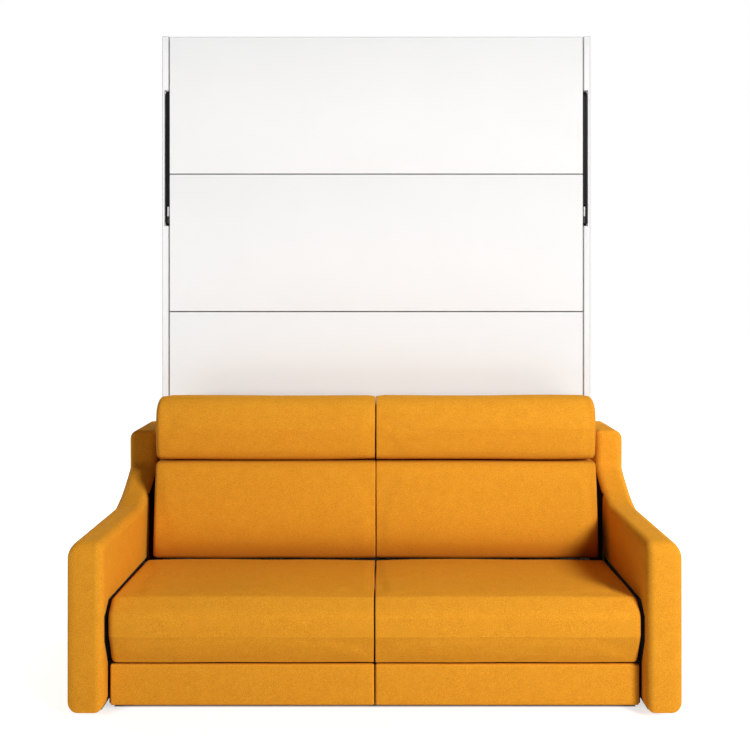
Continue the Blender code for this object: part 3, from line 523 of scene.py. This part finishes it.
def stuffed(corners, xs, inner_round, outer_round, crown=0.0, facing=(0, 1), cell=0.014, steps=7, shares=(1, 1)):
    """Upholstery as a fine closed mesh: an outline carried along X, drawn in round at its ends and crowned."""
    base = [corner_arc(corners, i, steps) for i in range(len(corners))]
    cuts = [max(1, math.ceil((after[0] - arc[-1]).length / cell)) for arc, after in zip(base, base[1:] + base[:1])]
    x0, x1 = xs
    way = 1 if x1 > x0 else -1
    width = abs(x1 - x0)
    turns = [math.pi / 2 * k / END_STEPS for k in range(END_STEPS + 1)]
    stations = [(x0 + way * inner_round * (1 - math.cos(t)), inner_round * (1 - math.sin(t)), (1, 1))
                for t in turns]
    stations.insert(0, (x0, inner_round + END_RIM, (1, 1)))
    run = width - inner_round - outer_round
    spans = math.ceil(run / cell)
    stations += [(x0 + way * (inner_round + run * k / spans), 0.0, (1, 1)) for k in range(1, spans)]
    stations += [(x1 - way * outer_round * (1 - math.cos(t)), outer_round * (1 - math.sin(t)), shares)
                 for t in turns[::-1]]
    stations.append((x1, outer_round + END_RIM, shares))
    form = bmesh.new()
    rings = []
    for x, inset, share in stations:
        along = (x - (x0 + x1) / 2) / (width / 2)
        moved = drawn_in(corners, inset, crown * (1 - along * along), facing, share)
        arcs = [corner_arc(moved, i, steps) for i in range(len(moved))]
        ring = []
        for i, arc in enumerate(arcs):
            ring += arc
            end = arcs[(i + 1) % len(arcs)][0]
            ring += [arc[-1].lerp(end, k / cuts[i]) for k in range(1, cuts[i])]
        rings.append([form.verts.new((x, FRONT_Y - point.x, point.y)) for point in ring])
    for first, second in zip(rings, rings[1:]):
        for i in range(len(first)):
            j = (i + 1) % len(first)
            form.faces.new((first[i], first[j], second[j], second[i]))
    for ring in (rings[0], rings[-1]):
        form.faces.new(ring)
    bmesh.ops.recalc_face_normals(form, faces=form.faces)
    for face in form.faces:
        face.smooth = True
    return form


ticking = new_finish("mattress_ticking", TICKING, 0.9, Sheen_Weight=0.2, Sheen_Roughness=0.5)
weave = speckle(ticking, 700)
shade_with(ticking,
           Base_Color=graded(ticking, weave, ((0.3, TICKING_DARK), (0.7, TICKING_LIGHT))),
           Normal=raised(ticking, weave, 0.0006, 0.6))
webbing = new_finish("black_webbing", WEBBING, 0.8, Sheen_Weight=0.1)
shade_with(webbing, Normal=raised(webbing, speckle(webbing, 500, (0.3, 1, 1)), 0.0006, 0.8))

low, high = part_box("mattress")
front, back = FRONT_Y - high.y, FRONT_Y - low.y
section = [(f, z, MATTRESS_ROUND) for f, z in ((back, low.z), (back, high.z), (front, high.z), (front, low.z))]
core = stuffed(section, (low.x, high.x), MATTRESS_ROUND, MATTRESS_ROUND, cell=MATTRESS_CELL)
middle_y = (low.y + high.y) / 2
half_y = (high.y - low.y) / 2
for vertex in core.verts:
    flat = abs(vertex.co.y - middle_y) / half_y
    if flat < FLAT_SHARE:
        continue
    edge = min(high.x - abs(vertex.co.x), vertex.co.z - low.z, high.z - vertex.co.z)
    fade = max(0.0, min(1.0, (edge - MATTRESS_ROUND) / QUILT_FADE))
    a = math.sin(math.pi * (vertex.co.x + vertex.co.z) / QUILT_PITCH)
    b = math.sin(math.pi * (vertex.co.x - vertex.co.z) / QUILT_PITCH)
    channel = max(math.exp(-(a * QUILT_SHARP) ** 2), math.exp(-(b * QUILT_SHARP) ** 2))
    vertex.co.y -= math.copysign(QUILT_DEPTH * channel * fade, vertex.co.y - middle_y)
mattress = shown("mattress_piece", core)
settle(mattress, "mattress", ticking)
for strap in ("lower_mattress_strap", "upper_mattress_strap"):
    eased(strap, STRAP_EDGE, webbing)


def tape_ring(name, y):
    """The tape edge round one face of the mattress, as a swept cord."""
    path = bpy.data.curves.new(name, "CURVE")
    path.dimensions = "3D"
    path.bevel_depth = TAPE_RADIUS
    path.bevel_resolution = 3
    inset = MATTRESS_ROUND * TAPE_INSET
    spline = path.splines.new("POLY")
    points = []
    for sx, sz in ((-1, -1), (1, -1), (1, 1), (-1, 1)):
        centre = Vector((sx * (high.x - inset - MATTRESS_ROUND),
                         (low.z + high.z) / 2 + sz * ((high.z - low.z) / 2 - inset - MATTRESS_ROUND)))
        start = math.atan2(sz, sx) - math.pi / 4
        for k in range(TAPE_STEPS + 1):
            angle = start + math.pi / 2 * k / TAPE_STEPS
            points.append((centre.x + MATTRESS_ROUND * math.cos(angle), y,
                           centre.y + MATTRESS_ROUND * math.sin(angle)))
    spline.points.add(len(points) - 1)
    for point, place in zip(spline.points, points):
        point.co = (*place, 1)
    spline.use_cyclic_u = True
    path.materials.append(ticking)
    holder = bpy.data.objects.new(name + "_path", path)
    bpy.context.scene.collection.objects.link(holder)
    mesh = bpy.data.meshes.new_from_object(holder.evaluated_get(bpy.context.evaluated_depsgraph_get()))
    bpy.data.objects.remove(holder)
    piece = bpy.data.objects.new(name, mesh)
    bpy.context.scene.collection.objects.link(piece)
    return ride_with(piece, "mattress")


tape_ring("mattress_tape_under", low.y + MATTRESS_ROUND * TAPE_SINK)
tape_ring("mattress_tape_over", high.y - MATTRESS_ROUND * TAPE_SINK)

# The sofa's back: one cushion to each seat, foam on the back board in a sewn cloth cover, and a rounded
# headrest sewn to it. They ride on the bed, and lie under it when it is down.
CLOTH = (0.80, 0.325, 0.020)
CLOTH_DARK = (0.63, 0.222, 0.011)
CLOTH_LIGHT = (0.93, 0.415, 0.031)
SHEEN_TINT = (1.0, 0.62, 0.06, 1)
CUSHION_CELL = 0.012
# The deep orange that the cloth is darkened towards in its creases: painted shade.
PAINTED_SHADE_COLOUR = (0.36, 0.085, 0.005, 1)
CLOUD_SHARE = 0.08

cloth = new_finish("yellow_felt_cloth", CLOTH, 0.95, Specular_IOR_Level=0.08, Sheen_Weight=0.12,
                   Sheen_Roughness=0.5, Sheen_Tint=SHEEN_TINT)
fibres = speckle(cloth, 500, detail=4.0, roughness=0.7)
clouds = speckle(cloth, 26, detail=3.0)
blend = cloth.node_tree.nodes.new("ShaderNodeMix")
blend.data_type = "FLOAT"
blend.inputs["Factor"].default_value = CLOUD_SHARE
cloth.node_tree.links.new(fibres, blend.inputs["A"])
cloth.node_tree.links.new(clouds, blend.inputs["B"])
# An attribute darkens the cloth's colour in the cushions' creases and at their outer ends: painted shade.
creased = cloth.node_tree.nodes.new("ShaderNodeAttribute")
creased.attribute_name = "creased"
painted_shade_mix = cloth.node_tree.nodes.new("ShaderNodeMix")
painted_shade_mix.data_type = "RGBA"
painted_shade_mix.inputs["B"].default_value = PAINTED_SHADE_COLOUR
cloth.node_tree.links.new(creased.outputs["Fac"], painted_shade_mix.inputs["Factor"])
dyed = graded(cloth, blend.outputs["Result"], ((0.39, CLOTH_DARK), (0.5, CLOTH), (0.61, CLOTH_LIGHT)))
cloth.node_tree.links.new(dyed, painted_shade_mix.inputs["A"])
shade_with(cloth,
           Base_Color=painted_shade_mix.outputs["Result"],
           Roughness=ranged(cloth, fibres, 0.86, 0.97),
           Normal=raised(cloth, fibres, 0.0012, 0.7, raised(cloth, speckle(cloth, 1100), 0.0006, 0.6)))

# Outlines seen from the side, as (forward, height, corner radius).
BACK = ((0.125, 0.341, 0.014), (0.363, 0.341, 0.016), (0.343, 0.5065, 0.0), (0.319, 0.672, 0.014),
        (0.125, 0.672, 0.014))
HEADREST = ((0.125, 0.677, 0.014), (0.319, 0.677, 0.026), (0.336, 0.791, 0.056), (0.322, 0.905, 0.056),
            (0.125, 0.883, 0.014))
BACK_XS = (0.0004, 0.777)
BACK_CROWN = 0.002
BACK_END = 0.014
HEADREST_END = 0.022
HEADREST_SHARES = (1, 1.7)
SEAM_END = 0.005
PLUMP = 0.003
# Painted shade in the cushions' creases, as its depth, the place where it is deepest, and its reach.
FOOT_SHADE = (0.85, 0.345, 0.064)
HEAD_SEAM_SHADE = (0.5, 0.672, 0.007)
HEADREST_FOOT_SHADE = (0.4, 0.677, 0.018)
END_SHADE = (0.45, 0.011)
# Where a cover is held under pressure, as its back, its foot and its head.
BACK_HELD = (0.140, 0.350, 0.668)
HEADREST_HELD = (0.140, 0.682, 0.950)
PRESSURE = 4.0
PRESS_CAP = 0.0035
PRESS_FADE = 0.045
PRESS_FRAMES = 20


def plumped(form, seed, amount, scale=4.0):
    """Slow, shallow unevenness of stuffed cloth, drawn inwards only so that the piece keeps its box."""
    for vertex in form.verts:
        swell = noise.noise(vertex.co * scale + Vector((seed, 0, 0))) - 0.5
        vertex.co += vertex.normal * min(0.0, swell) * amount
    return form


def paint_shade(piece, depth):
    """Painted shade in the crease beside a neighbour and at the outer ends, as a value from 0 to 1 at each point.
    """
    shade_layer = piece.data.attributes.new("creased", "FLOAT", "POINT")
    ends = max(abs(v.co.x) for v in piece.data.vertices)
    end_depth, end_reach = END_SHADE
    shade_layer.data.foreach_set("value", [min(1.0, depth(FRONT_Y - v.co.y, v.co.z)
                                        + end_depth * math.exp((abs(v.co.x) - ends) / end_reach))
                                    for v in piece.data.vertices])


def back_painted_shade(forward, z):
    """Painted shade, deepest at the foot, where the seat shades the cloth, and again in the seam under the
    headrest.
    """
    depth, foot, reach = FOOT_SHADE
    head_depth, head, head_reach = HEAD_SEAM_SHADE
    return depth * math.exp(-(max(0.0, z - foot) / reach) ** 1.5) + head_depth * math.exp((z - head) / head_reach)


def headrest_painted_shade(forward, z):
    """Painted shade, deepest in the seam at the headrest's foot."""
    depth, foot, reach = HEADREST_FOOT_SHADE
    return depth * math.exp(-max(0.0, z - foot) / reach)


def pressed_out(piece, held_at, xs):
    """Fills the cover: cloth under pressure from inside, with each point's travel outwards capped.

    The cover is held at its back, foot and head and at both ends, where it is sewn or lies against a neighbour.
    """
    rear, foot, head = held_at
    near, far = sorted(abs(x) for x in xs)
    free = []
    for vertex in piece.data.vertices:
        forward, z, across = FRONT_Y - vertex.co.y, vertex.co.z, abs(vertex.co.x)
        room = min(forward - rear, z - foot, head - z, across - near, far - across)
        free.append(max(0.0, min(1.0, room / PRESS_FADE)))
    held = piece.vertex_groups.new(name="held")
    held.add([i for i, share in enumerate(free) if share == 0], 1.0, "REPLACE")
    press = piece.modifiers.new("press", "CLOTH")
    press.settings.quality = 4
    press.settings.use_pressure = True
    press.settings.uniform_pressure_force = PRESSURE
    press.settings.effector_weights.gravity = 0
    press.settings.vertex_group_mass = "held"
    press.collision_settings.use_collision = False
    for moment in range(1, PRESS_FRAMES + 1):
        bpy.context.scene.frame_set(moment)
    pressed = piece.evaluated_get(bpy.context.evaluated_depsgraph_get())
    travel = [(after.co - before.co).dot(before.normal) * share
              for after, before, share in zip(pressed.data.vertices, piece.data.vertices, free)]
    moves = [vertex.normal * min(PRESS_CAP, max(0.0, out)) for vertex, out in zip(piece.data.vertices, travel)]
    piece.modifiers.clear()
    piece.vertex_groups.clear()
    for vertex, move in zip(piece.data.vertices, moves):
        vertex.co += move
    bpy.context.scene.frame_set(1)
    return piece


for side, way, seed in (("left", -1, 3.1), ("right", 1, 8.7)):
    xs = (way * BACK_XS[0], way * BACK_XS[1])
    cushion = shown(side + "_back_cushion_piece",
                    plumped(stuffed(BACK, xs, SEAM_END, BACK_END, BACK_CROWN, (1, 0), CUSHION_CELL), seed, PLUMP))
    # Painted shade at the cushion's foot, under the headrest and at its outer end.
    paint_shade(cushion, back_painted_shade)
    settle(pressed_out(cushion, BACK_HELD, xs), side + "_back_cushion", cloth)
    headrest = shown(side + "_headrest_piece",
                     plumped(stuffed(HEADREST, xs, SEAM_END, HEADREST_END, BACK_CROWN, (1, 0), CUSHION_CELL,
                                     shares=HEADREST_SHARES), seed + 1, PLUMP))
    # Painted shade at the headrest's foot and at its outer end.
    paint_shade(headrest, headrest_painted_shade)
    settle(pressed_out(headrest, HEADREST_HELD, xs), side + "_headrest", cloth)

# The seat: one foam block to each place in a sewn cover, with a bevel sewn into its front. It lies loose on
# the seat board and stays on the floor base when the bed comes down over it.
SEAT = ((0.368, 0.1493, 0.014), (0.793, 0.1493, 0.007), (0.8295, 0.240, 0.010), (0.8295, 0.308, 0.050),
        (0.784, 0.349, 0.016), (0.368, 0.343, 0.007))
SEAT_XS = (0.0002, 0.801)
SEAT_CROWN = 0.004
SEAT_END = 0.022
SEAT_REAR_SHADE = (0.35, 0.368, 0.20)
SEAT_TOP = 0.308
SEAT_HELD = (0.375, 0.155, 0.400)


def seat_painted_shade(forward, z):
    """Painted shade, deepest along the seat's rear edge, under the sofa's back, and on the top alone."""
    depth, rear, reach = SEAT_REAR_SHADE
    return depth * math.exp(-(forward - rear) / reach) if z > SEAT_TOP else 0


for side, way, seed in (("left", -1, 5.3), ("right", 1, 1.9)):
    xs = (way * SEAT_XS[0], way * SEAT_XS[1])
    seat = shown(side + "_seat_cushion_piece",
                 plumped(stuffed(SEAT, xs, SEAM_END, SEAT_END, SEAT_CROWN, (0, 1), CUSHION_CELL), seed, PLUMP))
    # Painted shade along the seat's rear edge, under the sofa's back, and at its outer end.
    paint_shade(seat, seat_painted_shade)
    settle(pressed_out(seat, SEAT_HELD, xs), side + "_seat_cushion", cloth)

# The drawer fronts: chipboard under thin wadding, wrapped in the sofa's cloth and screwed to each box from
# inside. They run under the seat cushions and have no handles.
WRAP_ROUND = 0.006
WRAP_BACK = 0.002
WRAP_CELL = 0.02
for side, way in (("left", -1), ("right", 1)):
    low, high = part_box(side + "_drawer_front")
    front, back = FRONT_Y - low.y, FRONT_Y - high.y
    near, far = sorted((abs(low.x), abs(high.x)))
    section = ((back, low.z, WRAP_BACK), (front, low.z, WRAP_ROUND), (front, high.z, WRAP_ROUND),
               (back, high.z, WRAP_BACK))
    form = stuffed(section, (way * near, way * far), WRAP_ROUND, WRAP_ROUND, cell=WRAP_CELL, steps=4)
    settle(shown(side + "_drawer_front_piece", form), side + "_drawer_front", cloth)

# The arms: a plywood core in foam and cloth, sloped up at the back to a block beside the cabinet. The inner side
# is cut back beside the loose seat, and under the slope, where the back cushion stands clear of the arm, and
# the cut faces are painted black as the shadow in these gaps.
ARM_REAR, ARM_FRONT = -0.106, 0.844
ARM_FOOT, ARM_TOP = 0.0203, 0.527
BLOCK_FRONT, BLOCK_TOP = 0.161, 0.758
SLOPE_SIZE = (0.202, 0.106)
SLOPE_SAG = 0.012
SLOPE_STEPS = 14
ARM_XS = (0.808, 0.913)
ARM_INNER_END = 0.026
ARM_OUTER_END = 0.034
ARM_SHARES = (0.2, 1.35)
CLEAR_REAR, CLEAR_FOOT, CLEAR_TOP, CLEAR_X = -0.2, -0.1, 1.0, 0.02
REBATE_X = 0.8253
REBATE_TO = 0.0003
RECESS_X = 0.824
RECESS_TO = 0.276
RECESS_HIGH = 0.635
RECESS_COVER = 0.012
SHADOW_BAND_X = 0.813
SHADOW_BAND = ((0.300, 0.0), (0.787, 0.0), (0.787, 0.149), (0.8205, 0.225), (0.8205, 0.300), (0.778, 0.3385),
          (0.300, 0.3345))
CORE_GAP = 0.0006
CORE_FOOT = 0.03
# The black of the arms' cut faces beside the seat and under the slope: painted shadow.
SHADOW_BLACK = (0.006, 0.006, 0.006)


def slope(lower):
    """The hollow slope from the arm's top up to its block, moved down and back by a margin."""
    parts = [k / SLOPE_STEPS for k in range(SLOPE_STEPS + 1)]
    return [(BLOCK_FRONT - lower + SLOPE_SIZE[0] * (1 - part),
             ARM_TOP - lower + SLOPE_SIZE[1] * part - SLOPE_SAG * math.sin(math.pi * part))
            for part in parts]


def slab_form(outline, xs):
    """An outline of (forward, z) points as a closed slab between two x values."""
    form = bmesh.new()
    rings = [[form.verts.new((x, FRONT_Y - f, z)) for f, z in outline] for x in xs]
    for i in range(len(outline)):
        j = (i + 1) % len(outline)
        form.faces.new((rings[0][i], rings[0][j], rings[1][j], rings[1][i]))
    form.faces.new(rings[0])
    form.faces.new(rings[1])
    bmesh.ops.recalc_face_normals(form, faces=form.faces)
    return form


def carved(piece, form, cut_finish):
    """Cuts a closed form out of a piece, with its own finish on the new faces."""
    cutter = shown(piece.name + "_cutter", form)
    cutter.data.materials.append(cut_finish)
    cut = piece.modifiers.new("cut", "BOOLEAN")
    cut.operation = "DIFFERENCE"
    cut.solver = "EXACT"
    cut.material_mode = "TRANSFER"
    cut.object = cutter
    bpy.context.view_layer.update()
    made = bpy.data.meshes.new_from_object(piece.evaluated_get(bpy.context.evaluated_depsgraph_get()))
    piece.modifiers.clear()
    piece.data = made
    bpy.data.objects.remove(cutter)


def flat_lit(piece):
    """Normals weighted by face area, so that a wide flat face shades flat up to its rounded edges."""
    even = piece.modifiers.new("even", "WEIGHTED_NORMAL")
    even.keep_sharp = True
    even.weight = 50
    bpy.context.view_layer.update()
    made = bpy.data.meshes.new_from_object(piece.evaluated_get(bpy.context.evaluated_depsgraph_get()))
    piece.modifiers.clear()
    piece.data = made
    return piece


arm_side = [(ARM_REAR, ARM_FOOT, 0.0), (ARM_FRONT, ARM_FOOT, 0.004), (ARM_FRONT, ARM_TOP, 0.032),
            *[(f, z, 0.0) for f, z in slope(0.0)], (BLOCK_FRONT, BLOCK_TOP, 0.012), (ARM_REAR, BLOCK_TOP, 0.012)]
rebate = [(CLEAR_REAR, CLEAR_FOOT), (REBATE_TO, CLEAR_FOOT), (REBATE_TO, CLEAR_TOP), (CLEAR_REAR, CLEAR_TOP)]
under = [(f, z) for f, z in slope(RECESS_COVER) if f < RECESS_TO and z < RECESS_HIGH]
recess = [(CLEAR_REAR, CLEAR_FOOT), (RECESS_TO, CLEAR_FOOT), (RECESS_TO, under[0][1]), *under,
          (under[-1][0], RECESS_HIGH), (CLEAR_REAR, RECESS_HIGH)]
# Black on the faces cut into the arms: painted shadow in the gaps beside the seat and the back cushion.
painted_shadow_finish = new_finish("black_lining", SHADOW_BLACK, 0.95)
shade_with(painted_shadow_finish, Normal=raised(painted_shadow_finish, speckle(painted_shadow_finish, 600), 0.0005, 0.5))
for side, way in (("left", -1), ("right", 1)):
    arm = shown(side + "_arm_cover_piece",
                stuffed(arm_side, (way * ARM_XS[0], way * ARM_XS[1]), ARM_INNER_END, ARM_OUTER_END,
                        cell=WRAP_CELL, steps=6, shares=ARM_SHARES))
    arm.data.materials.append(cloth)
    inside = way * (ARM_XS[0] - CLEAR_X)
    carved(arm, slab_form(rebate, (inside, way * REBATE_X)), cloth)
    carved(arm, slab_form(recess, (inside, way * RECESS_X)), painted_shadow_finish)
    carved(arm, slab_form(SHADOW_BAND, (inside, way * SHADOW_BAND_X)), painted_shadow_finish)
    pocket = solid_mesh(side + "_arm_core")
    bmesh.ops.recalc_face_normals(pocket, faces=pocket.faces)
    for vertex in pocket.verts:
        vertex.co += vertex.normal * CORE_GAP
        if vertex.co.z < CORE_FOOT:
            vertex.co.z = 0
    carved(arm, pocket, painted_shadow_finish)
    arm.data.set_sharp_from_angle(angle=math.radians(40))
    settle(flat_lit(arm), side + "_arm_cover")

# The floor, the lights and the camera: a pale studio floor, a broad key light from the front right with its level
# set apart for the cloth and for the white boards, a fill on the boards, soft lights behind, and the photo's
# straight-on view with its shifted frame.
FLOOR_GREY = (0.80, 0.80, 0.80, 1)
FLOOR_LIFT = 0.62
FLOOR_REACH = (0.9, 2.6)
FLOOR_SIZE = 40
FOOTPRINT = (0.80, 0.57)
WORLD_LEVEL = 0.07
EYE = (0.022, -3.4825, 1.280)
LENS = 45.6
SHIFT = (-7 / 750, -86 / 750)
floor_finish = bpy.data.materials.new("studio_floor")
floor_finish.use_nodes = True
tree = floor_finish.node_tree
tree.nodes.clear()


def math_node(tree, operation, first, second):
    """One step of arithmetic between sockets or plain numbers."""
    step = tree.nodes.new("ShaderNodeMath")
    step.operation = operation
    for socket, value in zip(step.inputs, (first, second)):
        if isinstance(value, (int, float)):
            socket.default_value = value
        else:
            tree.links.new(value, socket)
    return step.outputs[0]


def shown_white(tree):
    """1 for the rays that see the white studio itself: the camera's, and those in metal and glass."""
    ray = tree.nodes.new("ShaderNodeLightPath")
    mirrored = math_node(tree, "MAXIMUM", ray.outputs["Is Glossy Ray"], ray.outputs["Is Transmission Ray"])
    return math_node(tree, "MAXIMUM", ray.outputs["Is Camera Ray"], mirrored)


place = tree.nodes.new("ShaderNodeTexCoord")
axes = tree.nodes.new("ShaderNodeSeparateXYZ")
tree.links.new(place.outputs["Object"], axes.inputs["Vector"])
aside = math_node(tree, "GREATER_THAN", math_node(tree, "ABSOLUTE", axes.outputs["X"], 0), FOOTPRINT[0])
beyond = math_node(tree, "GREATER_THAN", math_node(tree, "ABSOLUTE", axes.outputs["Y"], 0), FOOTPRINT[1])
outside = math_node(tree, "MAXIMUM", aside, beyond)
length = tree.nodes.new("ShaderNodeVectorMath")
length.operation = "LENGTH"
tree.links.new(place.outputs["Object"], length.inputs[0])
brighter = tree.nodes.new("ShaderNodeMapRange")
brighter.interpolation_type = "SMOOTHSTEP"
brighter.inputs["From Min"].default_value, brighter.inputs["From Max"].default_value = FLOOR_REACH
brighter.inputs["To Min"].default_value = FLOOR_LIFT
brighter.inputs["To Max"].default_value = 1.0
tree.links.new(length.outputs["Value"], brighter.inputs["Value"])
lift = math_node(tree, "MULTIPLY", math_node(tree, "MULTIPLY", shown_white(tree), outside),
                 brighter.outputs["Result"])
matt = tree.nodes.new("ShaderNodeBsdfDiffuse")
matt.inputs["Color"].default_value = FLOOR_GREY
glow = tree.nodes.new("ShaderNodeEmission")
tree.links.new(lift, glow.inputs["Strength"])
summed = tree.nodes.new("ShaderNodeAddShader")
output = tree.nodes.new("ShaderNodeOutputMaterial")
tree.links.new(matt.outputs["BSDF"], summed.inputs[0])
tree.links.new(glow.outputs["Emission"], summed.inputs[1])
tree.links.new(summed.outputs["Shader"], output.inputs["Surface"])
bpy.ops.mesh.primitive_plane_add(size=FLOOR_SIZE, location=(0, 0, 0))
floor = bpy.context.object
floor.name = "studio_floor"
floor.data.materials.append(floor_finish)

world = bpy.data.worlds.new("studio")
bpy.context.scene.world = world
world.use_nodes = True
tree = world.node_tree
air = tree.nodes["Background"]
air.inputs["Color"].default_value = (1, 1, 1, 1)
level = tree.nodes.new("ShaderNodeMapRange")
level.inputs["To Min"].default_value = WORLD_LEVEL
level.inputs["To Max"].default_value = 1.0
tree.links.new(shown_white(tree), level.inputs["Value"])
tree.links.new(level.outputs["Result"], air.inputs["Strength"])


def softbox(name, place, target, size, power, lit):
    """An area light aimed at a point, which lights only some of the objects while all of them cast shadows.

    The lights for the boards are kept out of reflections, or the top panel would shine white from behind.
    """
    lamp = bpy.data.lights.new(name, "AREA")
    lamp.shape = "RECTANGLE"
    lamp.size, lamp.size_y = size
    lamp.energy = power
    holder = bpy.data.objects.new(name, lamp)
    holder.location = place
    holder.rotation_euler = (Vector(target) - Vector(place)).to_track_quat("-Z", "Y").to_euler()
    holder.visible_glossy = lit != pale
    bpy.context.scene.collection.objects.link(holder)
    receivers = bpy.data.collections.new(name + "_lights")
    for thing in lit:
        receivers.objects.link(thing)
    holder.light_linking.receiver_collection = receivers


shapes = [thing for thing in bpy.context.scene.objects if thing.type == "MESH"]
pale = [thing for thing in shapes if thing == floor or melamine.name in thing.data.materials]
coloured = [thing for thing in shapes if thing not in pale]
softbox("key", (3.4, -4.5, 3.3), (0, -0.3, 0.9), (1.4, 1.4), 365, coloured)
softbox("pale_key", (3.4, -4.5, 2.3), (0, -0.3, 0.9), (1.4, 1.4), 199, pale)
softbox("pale_fill", (-3.4, -4.6, 1.9), (-0.3, 0.18, 1.0), (2.0, 2.0), 156, pale)
softbox("back_left", (-4.5, 2.8, 1.1), (0, 0.3, 1.0), (2.0, 2.0), 112, shapes)
softbox("back_right", (4.5, 2.8, 1.1), (0, 0.3, 1.0), (2.0, 2.0), 112, shapes)
softbox("over_back", (0, 1.9, 4.8), (0, 0.4, 2.2), (2.0, 1.2), 46, pale)

eye = bpy.data.cameras.new("camera")
eye.sensor_width = 36
eye.lens = LENS
eye.shift_x, eye.shift_y = SHIFT
camera = bpy.data.objects.new("camera", eye)
camera.location = EYE
camera.rotation_euler = (math.pi / 2, 0, 0)
bpy.context.scene.collection.objects.link(camera)
bpy.context.scene.camera = camera
bpy.context.scene.view_settings.view_transform = "Standard"
